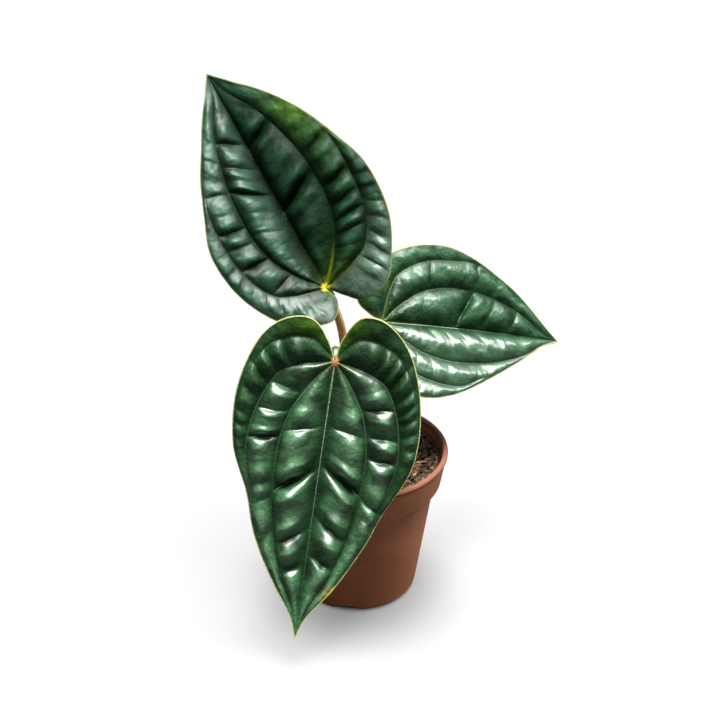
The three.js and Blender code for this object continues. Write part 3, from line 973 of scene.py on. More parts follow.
    def open_sky(self, skin: Surface, leaf: SimpleNamespace) -> Socket:
        """Return how much of the light above each place mirrors.

        Args:
            skin: The material under way.
            leaf: The blade's marks and masks.

        Returns:
            The share of the coat, least in the grooves and where light shines through.
        """
        return skin.product(
            skin.span(leaf.relief, self.relief_shine),
            skin.span(leaf.light, self.glow_shine),
            skin.span(leaf.turned, self.turned_shine),
            skin.most(leaf.lobe, self.by_half(skin, leaf, self.half_shine)),
            skin.span(leaf.lobe, (0.0, 1.0, 1.0, self.lobe_shine)),
            skin.span(leaf.joint, self.joint_shine),
            skin.span(leaf.midrib, self.midrib_shine),
        )


@dataclass(frozen=True)
class BladeBackFinish(Finish):
    """The matt, paler underside of a blade, with its raised veins."""

    name: str = "blade_back"
    field_green: Colour = linear(96, 124, 66)
    deep: Colour = linear(74, 104, 52)
    vein: Colour = linear(156, 172, 104)
    # Painted light: the yellow-green of light shining through the blade
    shine_through: Colour = linear(116, 150, 46)
    joint: Colour = linear(196, 150, 92)
    drift_scale: float = 0.14
    cells: float = 0.36
    wander: float = 1.5
    glow_share: float = 0.4
    net_share: float = 0.35
    lines: tuple[tuple[str, float, float], ...] = (
        ("rib", 0.35, 0.5), ("vein", 0.7, 0.75), ("midrib", 1.1, 0.9),
    )
    softness: float = 0.7
    joint_end: Span = Span(1.0, 9.0, 0.9, 0.0)
    gloss: Speckle = Speckle(0.8, Span(0.3, 0.7, 0.5, 0.66))
    grain_scale: float = 1.8
    grain_share: float = 0.3
    relief: float = 0.0002

    def paint(self, skin: Surface) -> None:
        """Paint the back; a line is what it follows, its width and its share."""
        leaf = skin.leaf()
        net = skin.effect("net", vector=leaf.flat, cells=self.cells, wander=self.wander)
        drawn = (
            (skin.product(skin.line(getattr(leaf, line), width, self.softness), share), self.vein)
            for line, width, share in self.lines
        )
        colour = skin.layered(
            skin.drift(leaf.flat, self.drift_scale, self.field_green, self.deep),
            # Painted light shining through
            (skin.product(leaf.glow, self.glow_share), self.shine_through),
            (skin.product(net["Edge"], self.net_share), self.vein),
            *drawn,
            (skin.span(leaf.joint, self.joint_end), self.joint),
        )
        skin.set(base_color=colour, roughness=skin.speckle(leaf.flat, self.gloss))
        grain = skin.product(skin.grain(leaf.flat, self.grain_scale), self.grain_share)
        skin.bump(skin.math("ADD", net["Edge"], grain), self.relief)


@dataclass(frozen=True)
class MarginFinish(Finish):
    """The pale, slightly translucent edge of a blade."""

    name: str = "blade_margin"
    pale: Colour = linear(196, 196, 132)
    green: Colour = linear(134, 154, 72)
    drift_scale: float = 0.12
    grain_scale: float = 2.0
    rough: Pair = (0.42, 0.58)
    relief: float = 0.00006

    def paint(self, skin: Surface) -> None:
        """Paint the edge."""
        flat = skin.leaf_place()
        skin.set(base_color=skin.drift(flat, self.drift_scale, self.pale, self.green))
        skin.roughen(flat, self.grain_scale, self.rough, self.relief)


@dataclass(frozen=True)
class StalkFinish(Finish):
    """A smooth stalk, streaked along its length, that warms towards its blade."""

    green: Colour = linear(112, 128, 58)
    warm: Colour = linear(252, 194, 132)
    foot: Colour = linear(146, 120, 72)
    pale: Colour = linear(54, 84, 40)
    streak_dark: Colour = (0.72, 0.72, 0.7)
    streak_light: Colour = (1.12, 1.1, 1.05)
    warm_from: float = 25.0
    warm_full: float = 70.0
    length: float = 100.0
    foot_end: Span = Span(2.0, 16.0, 1.0, 0.0)
    pale_end: Pair = (12.0, 5.0)
    streak_stretch: Triple = (0.06, 9, 0)
    streak_noise: Pair = (2.2, 4)
    streak_range: Pair = (0.3, 0.7)
    fleck_stretch: Triple = (0.8, 9, 0)
    fleck: Speckle = Speckle(3.0, Span(0.62, 0.74, 0.0, 0.35), 3)
    rough: Pair = (0.36, 0.5)
    coat: float = 0.15
    coat_gloss: float = 0.25
    grain_stretch: Triple = (0.25, 10, 0)
    grain_scale: float = 1.4
    relief: float = 0.00012

    def paint(self, skin: Surface) -> None:
        """Paint the stalk by its attribute "stalk"."""
        stalk = skin.marked("stalk")
        run, _, _ = skin.parts(stalk)
        streak = skin.noise(skin.scaled(stalk, self.streak_stretch), *self.streak_noise)
        pale_from, pale_full = (self.length - left for left in self.pale_end)
        colour = skin.layered(
            self.green,
            (skin.span(run, Span(self.warm_from, self.warm_full)), self.warm),
            (skin.span(run, self.foot_end), self.foot),
            (skin.span(run, Span(pale_from, pale_full)), self.pale),
        )
        streaks = skin.span(streak, Span(*self.streak_range))
        colour = skin.layered(
            skin.mottled(colour, streaks, self.streak_dark, self.streak_light),
            (skin.speckle(skin.scaled(stalk, self.fleck_stretch), self.fleck), self.foot),
        )
        skin.set(base_color=colour, coat_weight=self.coat, coat_roughness=self.coat_gloss)
        skin.set(roughness=skin.span(streak, (*self.streak_range, *self.rough)))
        skin.bump(skin.grain(skin.scaled(stalk, self.grain_stretch), self.grain_scale), self.relief)


@dataclass(frozen=True)
class PaperyFinish(Finish):
    """Dry, fibrous plant skin: scale leaves, crown and roots."""

    light: Colour
    dark: Colour
    stretch: Triple = (160.0, 160.0, 30.0)
    drift_scale: float = 2.4
    grain_scale: float = 5.0
    speck: Speckle = Speckle(9.0, Span(0.6, 0.7, 0.0, 0.5))
    rough: Pair = (0.6, 0.9)
    relief: float = 0.0003

    def paint(self, skin: Surface) -> None:
        """Paint the skin."""
        place = skin.scaled(skin.object_place(), self.stretch)
        drift = skin.drift(place, self.drift_scale, self.light, self.dark)
        skin.set(base_color=skin.mix(skin.speckle(place, self.speck), drift, self.dark))
        skin.roughen(place, self.grain_scale, self.rough, self.relief)


@dataclass(frozen=True)
class BarkFinish(Finish):
    """Composted bark, from near black to tan."""

    light: Colour
    dark: Colour
    rough: float = 0.7
    relief: float = 0.0003
    rough_range: float = 0.15
    drift_scale: float = 330.0
    grain_scale: float = 900.0
    streak_stretch: Triple = (1100, 500, 900)
    streak: Speckle = Speckle(1.0, Span(0.35, 0.7, 0.0, 0.6), 4)
    shine: float = 0.15

    def paint(self, skin: Surface) -> None:
        """Paint the bark."""
        place = skin.object_place()
        drift = skin.drift(place, self.drift_scale, self.light, self.dark)
        streaks = skin.speckle(skin.scaled(place, self.streak_stretch), self.streak)
        skin.set(base_color=skin.mix(streaks, drift, self.dark), specular_ior_level=self.shine)
        rough = (self.rough - self.rough_range, self.rough + self.rough_range)
        skin.roughen(place, self.grain_scale, rough, self.relief)


@dataclass(frozen=True)
class PlasticFinish(Finish):
    """Thin, slightly mottled terracotta-brown plastic with a matt lip, whose darker colour is painted shade.
    """

    name: str = "pot_plastic"
    body: Colour = linear(192, 120, 77)
    worn: Colour = linear(174, 103, 65)
    # Painted shade: the lip is darker than the plastic to tone down the light from above on it
    lip: Colour = linear(90, 52, 36)
    dust: Colour = linear(184, 138, 108)
    lip_on: Span = Span(73.8 * MM, 75.0 * MM, 0.0, 0.75)
    lip_rough: float = 1.2
    drift_scale: float = 38.0
    dusty: Speckle = Speckle(520.0, Span(0.58, 0.75, 0.0, 0.22), 4)
    scuff_stretch: Triple = (220, 220, 60)
    scuff: Speckle = Speckle(1.0, Span(0.3, 0.7, 0.34, 0.5), 4)
    shine: float = 0.4
    grain_scale: float = 420.0
    finer: float = 4.0
    relief: float = 0.00005

    def paint(self, skin: Surface) -> None:
        """Paint the plastic."""
        place = skin.object_place()
        lip = skin.span(skin.parts(place)[2], self.lip_on)
        colour = skin.layered(
            skin.drift(place, self.drift_scale, self.body, self.worn),
            # Painted shade on the lip
            (lip, self.lip),
            (skin.speckle(place, self.dusty), self.dust),
        )
        skin.set(base_color=colour, specular_ior_level=self.shine)
        scuffed = skin.speckle(skin.scaled(place, self.scuff_stretch), self.scuff)
        skin.set(roughness=skin.most(scuffed, skin.product(lip, self.lip_rough)))
        skin.bump(skin.grain(place, self.grain_scale, self.finer), self.relief)


# The plant


LEAF_MARKS = {
    "leaf_place": ("along", "out", "relief"),
    "leaf_lines": ("midrib", "vein", "margin"),
    "leaf_marks": ("rib", "glow", "joint"),
    "leaf_wear": ("worn", "length_share", "lane"),
}


class Spot(NamedTuple):
    """A place on the net of veins: half 0 is minus, and lane 0 lies beside the midrib."""

    half: int
    lane: int
    station: float
    share: float


@dataclass(frozen=True)
class Glow:
    """A stretch of blade where light shining through from behind is painted, from one lane to another round
    a station.
    """

    half: int
    lane: int
    station: float
    reach: float
    strength: float
    last_lane: int = 3


@dataclass(frozen=True)
class VeinNet:
    """The net of veins that every blade shares, one entry for each station along it."""

    stations: int = 12
    midrib: tuple[float, ...] = (0, 0.012, 0.03, 0.06, 0.11, 0.18, 0.27, 0.37, 0.48, 0.6, 0.73, 0.87, 1)
    inner: tuple[Pair, ...] = (
        (0, 0), (0.009, 0.025), (0.025, 0.065), (0.055, 0.15), (0.11, 0.27), (0.19, 0.4), (0.315, 0.48),
        (0.46, 0.475), (0.565, 0.435), (0.67, 0.36), (0.77, 0.26), (0.9, 0.075), (1, 0),
    )
    outer: tuple[Pair, ...] = (
        (0, 0), (0.006, 0.1), (0.014, 0.22), (0.03, 0.4), (0.07, 0.6), (0.185, 0.765), (0.33, 0.82),
    )
    outer_rim: float = 0.92
    lobe: tuple[float, ...] = (0.5, 0.5, 0.55, 0.6, 0.68, 0.8, 0.92, 0.95, 0.95, 0.95, 0.95, 0.95, 0.95)
    rows: tuple[int, ...] = (12, 12, 16, 28, 34, 34, 28, 24, 24, 20, 14, 12)
    lane_columns: tuple[int, ...] = (19, 16, 10, 9)
    even_columns: float = 0.35

    def at(self, points: Sequence[Pair], station: float) -> Pair:
        """Return the point of a smooth line at a station.

        Args:
            points: The line's points, one for each station.
            station: The station, whole or not.

        Returns:
            How far along and out the point lies, in millimetres.
        """
        last = len(points) - 1
        cell = min(int(station), last - 1)
        share = station - cell
        a, b, c, d = (points[min(last, max(0, cell + step))] for step in (-1, 0, 1, 2))
        result = []
        for axis in (0, 1):
            square = 2 * a[axis] - 5 * b[axis] + 4 * c[axis] - d[axis]
            cube = 3 * b[axis] - a[axis] - 3 * c[axis] + d[axis]
            value = 2 * b[axis] + (c[axis] - a[axis]) * share + square * share**2 + cube * share**3
            result.append(value / 2)
        return result[0], result[1]

    def row_stations(self) -> list[float]:
        """Return the station of every row from the base to the tip."""
        result = []
        for interval, count in enumerate(self.rows):
            result += [interval + step / count for step in range(count)]
        return [*result, float(self.stations)]

    def shares(self, lane: int) -> list[float]:
        """Return how far across a lane its columns lie, closer together beside its veins.

        Args:
            lane: The lane, 0 beside the midrib.

        Returns:
            One share for each column, up to 1 at the lane's far side.
        """
        count = self.lane_columns[lane]
        result = []
        for step in range(1, count + 1):
            even = step / count
            eased = 0.5 - 0.5 * math.cos(math.pi * even)
            result.append(self.even_columns * even + (1 - self.even_columns) * eased)
        return result


@dataclass
class SheetPoint:
    """A point of a blade's face, with what its finish and its thickness need to know."""

    along: float
    out: float
    height: float
    relief: float = 0.0
    midrib: float = 9.0
    vein: float = 9.0
    margin: float = 9.0
    rib: float = 9.0
    glow: float = 0.0
    joint: float = 99.0
    worn: float = 0.0
    weight: float = 0.0
    cell: float = 0.0
    lane: float = 0.0
    length_share: float = 0.0


@dataclass
class Blade:
    """One leaf blade: a sheet on the vein net, pillowed between its ribs, with a thickness.

    The outline, the ribs and the glows are those of the two halves, minus half first. An outline
    holds the inner stations in millimetres along and out from the midrib, and a rib is a station
    and a depth. The ends of a change are the stations where it starts and where it is complete.
    The sways, the waves and the cell bumps are sizes with the reach of their noise.
    """

    name: str
    base: Triple
    tip: Triple
    face: Triple
    fold: Pair
    bow: float
    lobe_lift: float
    lobe_band: bool
    outline: tuple[tuple[Pair, ...], tuple[Pair, ...]]
    ribs: tuple[tuple[tuple[Pair, ...], ...], ...]
    glows: tuple[Glow, ...] = ()
    yellowing: tuple[Triple, ...] = ()
    rib_depth: tuple[Triple, Triple] = ((1.3, 1.15, 0.8), (1.3, 1.15, 0.8))
    rise: tuple[Lanes, Lanes] = ((0.28, 0.3, 0.26, 0.14), (0.28, 0.3, 0.26, 0.14))
    rim_rise: float = 0.17
    band_ends: Pair = (3.0, 4.6)
    band_pillow: float = 0.6
    merge_ends: Pair = (6.2, 7.6)
    least_pillow: float = 0.15
    end_pillow: float = 0.3
    base_ends: Pair = (4.0, 6.5)
    base_power: float = 1.9
    tip_ends: Pair = (9.8, 11.4)
    tip_rise: float = 0.35
    crest_shift: float = 0.7
    cross_shift: float = 1.2
    inner_shift: Pair = (1.4, 1.4)
    swell: float = 1.75
    rib_swell: float = 1.6
    minor_ribs: float = 1.5
    shallow_rib: float = 0.8
    sways: tuple[Pair, Pair] = ((0.9, 7.5), (0.35, 3.0))
    least_stride: float = 4.0
    stride_reach: float = 0.25
    wave_sizes: Triple = (0.8, 0.24, 0.18)
    wave_reaches: Pair = (6.0, 2.6)
    wave_width: float = 9.0
    cell_reach: float = 3.3
    cell_bend: Pair = (1.6, 4.0)
    cell_steepness: float = 2.2
    flat_relief: float = 0.6
    relief_width: Pair = (1.5, 7.0)
    glow_ramp: float = 0.35
    glow_least: float = 0.5
    skin: float = 0.8
    rib_skin: float = 2.3
    ridges: tuple[Pair, Pair, Pair] = ((0.95, 1.1), (0.5, 0.8), (0.2, 0.7))
    ridge_joint: Pair = (0.0, 8.0)
    ridge_margin: Pair = (-1.0, 7.0)
    ridge_fade: float = 0.7
    cords: tuple[Pair, Pair] = ((0.2, 0.4), (0.1, 0.35))
    cord_joints: tuple[Pair, Pair] = ((0.5, 6.0), (0.5, 9.0))
    cord_fade: float = 1.6
    joint_knob: Pair = (0.7, 1.9)
    line_fineness: int = 120
    half_spacing: float = 200.0
    name_spacing: float = 7.0
    net: VeinNet = VeinNet()

    def __post_init__(self) -> None:
        """Work out the blade's frame: along the midrib, across it and out of its face."""
        origin = Vector(self.base)
        along = Vector(self.tip) - origin
        self.length = along.length
        along.normalize()
        out = Vector(self.face)
        out = (out - along * out.dot(along)).normalized()
        across = out.cross(along)
        self.matrix = Matrix.Translation(origin) @ Matrix((along, across, out)).transposed().to_4x4()

    def curves(self, half: int) -> list[list[Pair]]:
        """Return the lines between the lanes of one half.

        Args:
            half: The half, 0 for minus.

        Returns:
            The midrib, the inner, outer and lobe vein and the outline, a point a station.
        """
        outline = [(0.0, 0.0), *self.outline[half], (self.length, 0.0)]
        width = max(out for _, out in self.outline[half])
        midrib = [(share * self.length, 0.0) for share in self.net.midrib]
        inner, outer = (
            [(along * self.length, out * width) for along, out in vein]
            for vein in (self.net.inner, self.net.outer)
        )
        outer += [(along, out * self.net.outer_rim) for along, out in outline[len(outer):]]
        lobe = [between(start, end, share) for share, start, end in zip(self.net.lobe, outer, outline)]
        return [midrib, inner, outer, lobe, outline]

    def pillow(self, ribs: Sequence[Pair], station: float) -> float:
        """Return how much of its full height a pillow has.

        Args:
            ribs: The ribs that cross its lane.
            station: The station along the blade.

        Returns:
            The share, least at the ribs.
        """
        before, after = (0.0, self.end_pillow), (float(self.net.stations), self.end_pillow)
        for rib in ribs:
            if rib[0] > station:
                after = rib
                break
            before = rib
        share = max(0.0, (station - before[0]) / (after[0] - before[0])) ** self.crest_shift
        return 1 - lerp(before[1], after[1], share) * abs(2 * share - 1) ** self.rib_swell

    def ground(self, half: int, along: float, out: float) -> float:
        """Return the height of the blade without its pillows.

        Args:
            half: The half, 0 for minus.
            along: Millimetres along the midrib.
            out: Millimetres out from it.

        Returns:
            The height over the blade's flat, in millimetres.
        """
        share = along / self.length
        bow = 4 * self.bow * share * (1 - max(0.0, share))
        lift = self.lobe_lift * along * along if share < 0 else 0.0
        return self.fold[half] * out + bow + lift

    def lane_ribs(self, half: int, lane: int) -> Sequence[Pair]:
        """Return the ribs that cross a lane."""
        place = min(lane, 2)
        scale = self.rib_depth[half][place]
        return [(station, scale * depth**self.minor_ribs) for station, depth in self.ribs[half][place]]

    def spans(self, lane: int, station: float) -> list[tuple[int, int, float]]:
        """Return the domes that shape a lane at a station.

        Beyond the band along the lobes the two outermost lanes are one, and towards the tip they
        are one with the lane inside them.

        Args:
            lane: The lane, 0 beside the midrib.
            station: The station along the blade.

        Returns:
            The two lines that each dome spans, and its part.
        """
        band = 1 - smooth_step(*self.band_ends, station) if self.lobe_band else 0.0
        merged = smooth_step(*self.merge_ends, station) if lane > 0 else 0.0
        if lane < 2:
            return [(lane, lane + 1, 1 - merged), (1, 4, merged)]
        return [(lane, lane + 1, band * (1 - merged)), (2, 4, (1 - band) * (1 - merged)), (1, 4, merged)]

    def doming(self, spot: Spot, edges: Sequence[Pair], place: Pair) -> Triple:
        """Return how the domes of a lane shape one of its places.

        Args:
            spot: The spot on the net.
            edges: The lane lines' points at its station.
            place: Its place, along and out.

        Returns:
            The domes' width, how much of the full rise the place has, and the rise.
        """
        width, crown, rise = 0.0, 0.0, 0.0
        base_power = lerp(self.base_power, 1.0, smooth_step(*self.base_ends, spot.station))
        for first, last, part in self.spans(spot.lane, spot.station):
            shift = self.cross_shift if first else self.inner_shift[spot.half] ** base_power
            wide = math.dist(edges[first], edges[last])
            share = math.dist(place, edges[first]) / max(wide, 1e-6)
            width += wide * part
            crown += max(0.0, 1 - abs(2 * share**shift - 1) ** self.swell) * part
            rise += part * (self.rim_rise if last - first > 2 else self.rise[spot.half][spot.lane])
        return width, crown, rise

    def lane_point(self, spot: Spot, edges: Sequence[Pair], stride: float) -> SheetPoint:
        """Return the blade's point at a spot.

        Args:
            spot: The spot on the net.
            edges: The lane lines' points at its station.
            stride: The millimetres to one station here.

        Returns:
            The point, with its relief, its glow and its distances to the ribs and the joint.
        """
        half, lane, station, share = spot
        along, out = between(edges[lane], edges[lane + 1], share)
        seed = Vector((along, out + self.half_spacing * half, self.name_spacing * len(self.name)))
        width, crown, rise = self.doming(spot, edges, (along, out))
        sway = sum(size * noise.noise(seed / reach) for size, reach in self.sways)
        bent = station + sway * crown / max(stride, self.least_stride)
        bent = min(self.net.stations - 1e-3, max(0.0, bent))
        merged = smooth_step(*self.merge_ends, station)
        ribs = self.lane_ribs(half, lane)
        pillow = self.pillow(ribs, bent)
        if lane == 3 and self.lobe_band:
            pillow = lerp(self.band_pillow, pillow, smooth_step(*self.band_ends, station))
        if lane > 1:
            outer_pillow = self.pillow(self.lane_ribs(half, 1), bent)
            pillow = max(self.least_pillow, lerp(pillow, outer_pillow, merged))
        tip_rise = lerp(1.0, self.tip_rise, smooth_step(*self.tip_ends, station))
        height = self.ground(half, along, out) + rise * width * crown * pillow * tip_rise
        point = SheetPoint(along, out, height)
        point.height += min(1.0, width / self.wave_width) * crown * self.wave(seed)
        point.lane = 1 - 0.5 * merged if lane > 1 else 0.5 * lane
        bulge = min(1.0, max(0.0, crown * pillow))
        point.relief = lerp(self.flat_relief, bulge, smooth_step(*self.relief_width, width))
        passed = sum(place < bent for place, _ in ribs)
        point.cell = noise.cell(Vector((passed + 0.5, lane + 0.5, half + 0.5)))
        for rib_station, depth in ribs:
            point.rib = min(point.rib, abs(bent - rib_station) * stride + (1 - depth) * self.shallow_rib)
        point.joint = math.hypot(along, out)
        point.glow = self.glow(spot) * lerp(self.glow_least, 1.0, point.cell)
        return point

    def wave(self, spot: Vector) -> float:
        """Return the height of the broad waves, the small ones and the bumps between fine veins."""
        *waves, cells = self.wave_sizes
        height = sum(size * noise.noise(spot / reach) for size, reach in zip(waves, self.wave_reaches))
        return height + cells * self.cell_bump(spot)

    def cell_bump(self, spot: Vector) -> float:
        """Return the height of the small bumps between the finest veins.

        Args:
            spot: The place, in millimetres.

        Returns:
            The height, 0 at the veins and up to 1 between them.
        """
        size, reach = self.cell_bend
        apart = Vector((9, 9, 9))
        bend = Vector((noise.noise(spot / reach), noise.noise(spot / reach + apart), 0)) * size
        reaches, _ = noise.voronoi((spot + bend) / self.cell_reach)
        return min(1.0, self.cell_steepness * (reaches[1] - reaches[0]))

    def thickening(self, point: SheetPoint) -> float:
        """Return how much of the full rib thickness the blade has at a point."""
        fade = 1 - self.ridge_fade * max(0.0, point.length_share)
        fade *= smooth_step(*self.ridge_margin, point.margin)
        reaches = (point.midrib, point.vein, point.rib)
        ridges = [size * bell(reach, width) for reach, (size, width) in zip(reaches, self.ridges)]
        ridges[0] *= smooth_step(*self.ridge_joint, point.joint)
        return max(ridges) * fade

    def vein_cord(self, point: SheetPoint) -> float:
        """Return how far the cords of the veins stand up in their grooves."""
        fade = max(0.0, 1 - self.cord_fade * point.length_share)
        cord = 0.0
        for reach, (size, width), ends in zip((point.midrib, point.vein), self.cords, self.cord_joints):
            cord += size * bell(reach, width) * fade * smooth_step(*ends, point.joint)
        knob, knob_reach = self.joint_knob
        return cord + knob * bell(point.joint, knob_reach)

    def half_row(self, half: int, curves: Sequence[Sequence[Pair]], station: float) -> list[SheetPoint]:
        """Return one half's points at a station.

        Args:
            half: The half, 0 for minus.
            curves: The lines between its lanes.
            station: The station along the blade.

        Returns:
            The points from the midrib outwards.
        """
        last = float(self.net.stations)
        edges, early, late = (
            [self.net.at(curve, min(last, max(0.0, station + step))) for curve in curves]
            for step in (0.0, -self.stride_reach, self.stride_reach)
        )
        row = []
        for lane in range(4):
            start, end = (between(points[lane], points[lane + 1], 0.5) for points in (early, late))
            stride = math.dist(start, end) / (2 * self.stride_reach)
            for share in self.net.shares(lane):
                row.append(self.lane_point(Spot(half, lane, station, share), edges, stride))
        return row

    def glow(self, spot: Spot) -> float:
        """Return how much light shining through from behind is painted on a spot.

        Args:
            spot: The spot on the net.

        Returns:
            The light of its brightest glow, 0 to 1.
        """
        total = 0.0
        for glow in self.glows:
            if glow.half == spot.half and glow.lane <= spot.lane <= glow.last_lane:
                ramp = smooth_step(0.0, self.glow_ramp, spot.share) if spot.lane == glow.lane else 1.0
                total = max(total, glow.strength * ramp * bell(spot.station - glow.station, glow.reach))
        return total

    def wear(self, point: SheetPoint) -> float:
        """Return how yellowed a point is; a spot is along, out and reach."""
        spots = (
            bell(math.dist((point.along, point.out), (along, out)), reach)
            for along, out, reach in self.yellowing
        )
        return max(spots, default=0.0)

    def measure(self, points: Sequence[SheetPoint]) -> None:
        """Measure how far points lie from the midrib, the other veins and the margin.

        Args:
            points: The points, which keep what is measured.
        """
        places = [(point.along, point.out) for point in points]
        steps = self.net.stations * self.line_fineness
        stations = [self.net.stations * step / steps for step in range(steps + 1)]
        outer_end = len(stations) * round(self.merge_ends[1]) // self.net.stations
        lines: dict[str, list[Pair]] = {"midrib": [], "vein": [], "margin": []}
        for half, sign in ((0, -1), (1, 1)):
            midrib, inner, outer, _, outline = self.curves(half)
            named = (("midrib", midrib), ("vein", inner), ("vein", outer), ("margin", outline))
            for name, curve in named:
                reached = stations[:outer_end] if curve is outer else stations
                for along, out in (self.net.at(curve, station) for station in reached):
                    lines[name].append((along, sign * out))
        for name, line in lines.items():
            for point, distance in zip(points, distances(places, line)):
                setattr(point, name, distance)

    def rows(self) -> list[list[SheetPoint]]:
        """Return all rows from the base to the tip, from the plus outline to the minus one."""
        curves = [self.curves(0), self.curves(1)]
        result = []
        for station in self.net.row_stations():
            minus, plus = (self.half_row(half, curves[half], station) for half in (0, 1))
            along, _ = self.net.at(curves[0][0], station)
            spine = SheetPoint(along, 0.0, self.ground(0, along, 0.0), joint=along)
            spine.rib = min(minus[0].rib, plus[0].rib)
            for point in minus:
                point.out = -point.out
            result.append([*reversed(plus), spine, *minus])
        everything = [point for row in result for point in row]
        self.measure(everything)
        for point in everything:
            point.length_share = point.along / self.length
            point.worn = self.wear(point)
            point.weight = self.thickening(point)
            point.height += self.vein_cord(point)
        return result

    def build(self, finishes: Sequence[Material]) -> Piece:
        """Model the blade.

        Args:
            finishes: The finishes of the face, the back and the margin.

        Returns:
            The blade, a closed mesh at its place, with the attributes that its finishes read.
        """
        rows = self.rows()
        across, down = len(rows[0]) - 1, len(rows) - 1
        clear_selection()
        bpy.ops.mesh.primitive_grid_add(x_subdivisions=across, y_subdivisions=down, size=2)
        piece = newest(f"blade_{self.name}")
        points = [
            rows[round((vertex.co.y + 1) / 2 * down)][round((vertex.co.x + 1) / 2 * across)]
            for vertex in piece.data.vertices
        ]
        ridge = piece.vertex_groups.new(name="ridge")
        for vertex, point in zip(piece.data.vertices, points):
            vertex.co = self.matrix @ Vector((point.along, point.out, point.height)) * MM
            ridge.add([vertex.index], point.weight, "REPLACE")
        for name, parts in LEAF_MARKS.items():
            mark_points(piece, name, [getattr(point, part) for point in points for part in parts])
        merge_points(piece, 2 * MERGE_REACH)
        for finish in finishes:
            piece.data.materials.append(finish)
        self.thicken(piece)
        shade(piece)
        return piece

    def thicken(self, piece: Piece) -> None:
        """Give the sheet its back, its margin and its raised veins below.

        Args:
            piece: The sheet, which has its weights and its three finishes.
        """
        modify(
            piece,
            "SOLIDIFY",
            thickness=self.rib_skin * MM,
            offset=-1,
            vertex_group="ridge",
            thickness_vertex_group=self.skin / self.rib_skin,
            use_quality_normals=True,
            material_offset=1,
            material_offset_rim=2,
        )


@dataclass
class Petiole:
    """A stalk that swells where it clasps the crown and where it bends into its blade.

    The sheath, the swelling and the pinch are sizes with their reaches, and the tail is the
    tapered end that lies under the blade.
    """

    blade: Blade
    points: tuple[Triple, ...]
    joint: tuple[Pair, ...] = ((0.5, -12), (-3.6, -8), (-3, -5.3), (0.2, -3.5), (4, -2.6), (9, -1.4))
    radius: float = 2.0
    sheath: Pair = (0.6, 16.0)
    swelling: Pair = (0.25, 9.0)
    pinch: Triple = (0.16, 0.35, 4.0)
    tail: float = 9.0
    tail_share: float = 0.35
    flutes: int = 5
    flute_depth: float = 0.04
    unevenness: Pair = (0.05, 3.0)
    steps: int = 110
    sides: int = 28
    smooth_angle: float = 60.0

    def __post_init__(self) -> None:
        """Lay the stalk's path from the crown to the midrib."""
        points = [Vector(point) for point in self.points]
        points += [self.blade.matrix @ Vector((along, 0, out)) for along, out in self.joint]
        self.path = SmoothPath(points)

    def radii(self, share: float, angle: float) -> Pair:
        """Return the stalk's half widths, with its shallow lengthwise ribs.

        Args:
            share: The share of its length.
            angle: The angle round it.

        Returns:
            The two half widths, in millimetres.
        """
        run = share * self.path.length
        left = self.path.length - run
        sheath, sheath_reach = self.sheath
        swelling, swelling_reach = self.swelling
        pinch, pinch_turn, pinch_reach = self.pinch
        uneven, uneven_reach = self.unevenness
        radius = self.radius + sheath * bell(run, sheath_reach)
        radius += swelling * bell(left - self.tail, swelling_reach)
        radius *= lerp(self.tail_share, 1.0, smooth_step(0.0, self.tail, left))
        radius += self.flute_depth * math.sin(self.flutes * angle)
        radius += uneven * noise.noise(Vector((run / uneven_reach, angle, 3.0)))
        turned = bell(abs(angle) - math.pi / 2, pinch_turn)
        radius -= pinch * turned * bell(left - self.tail - pinch_reach, pinch_reach)
        return radius, radius

    def build(self) -> Piece:
        """Model the stalk."""
        piece = tube(f"stalk_{self.blade.name}", self.path, self.radii, self.steps, self.sides)
        shade(piece, self.smooth_angle)
        return piece

    def finish(self) -> StalkFinish:
        """Return the finish that follows this stalk's length."""
        return StalkFinish(f"petiole_{self.blade.name}", length=self.path.length - self.tail)


class Ring(NamedTuple):
    """Tubes at even turns round the crown, from the first one's angle in degrees.

    The points of each tube are its reach from the crown's middle and its height.
    """

    points: tuple[Pair, ...]
    first: float
    count: int
    steps: int
    sides: int


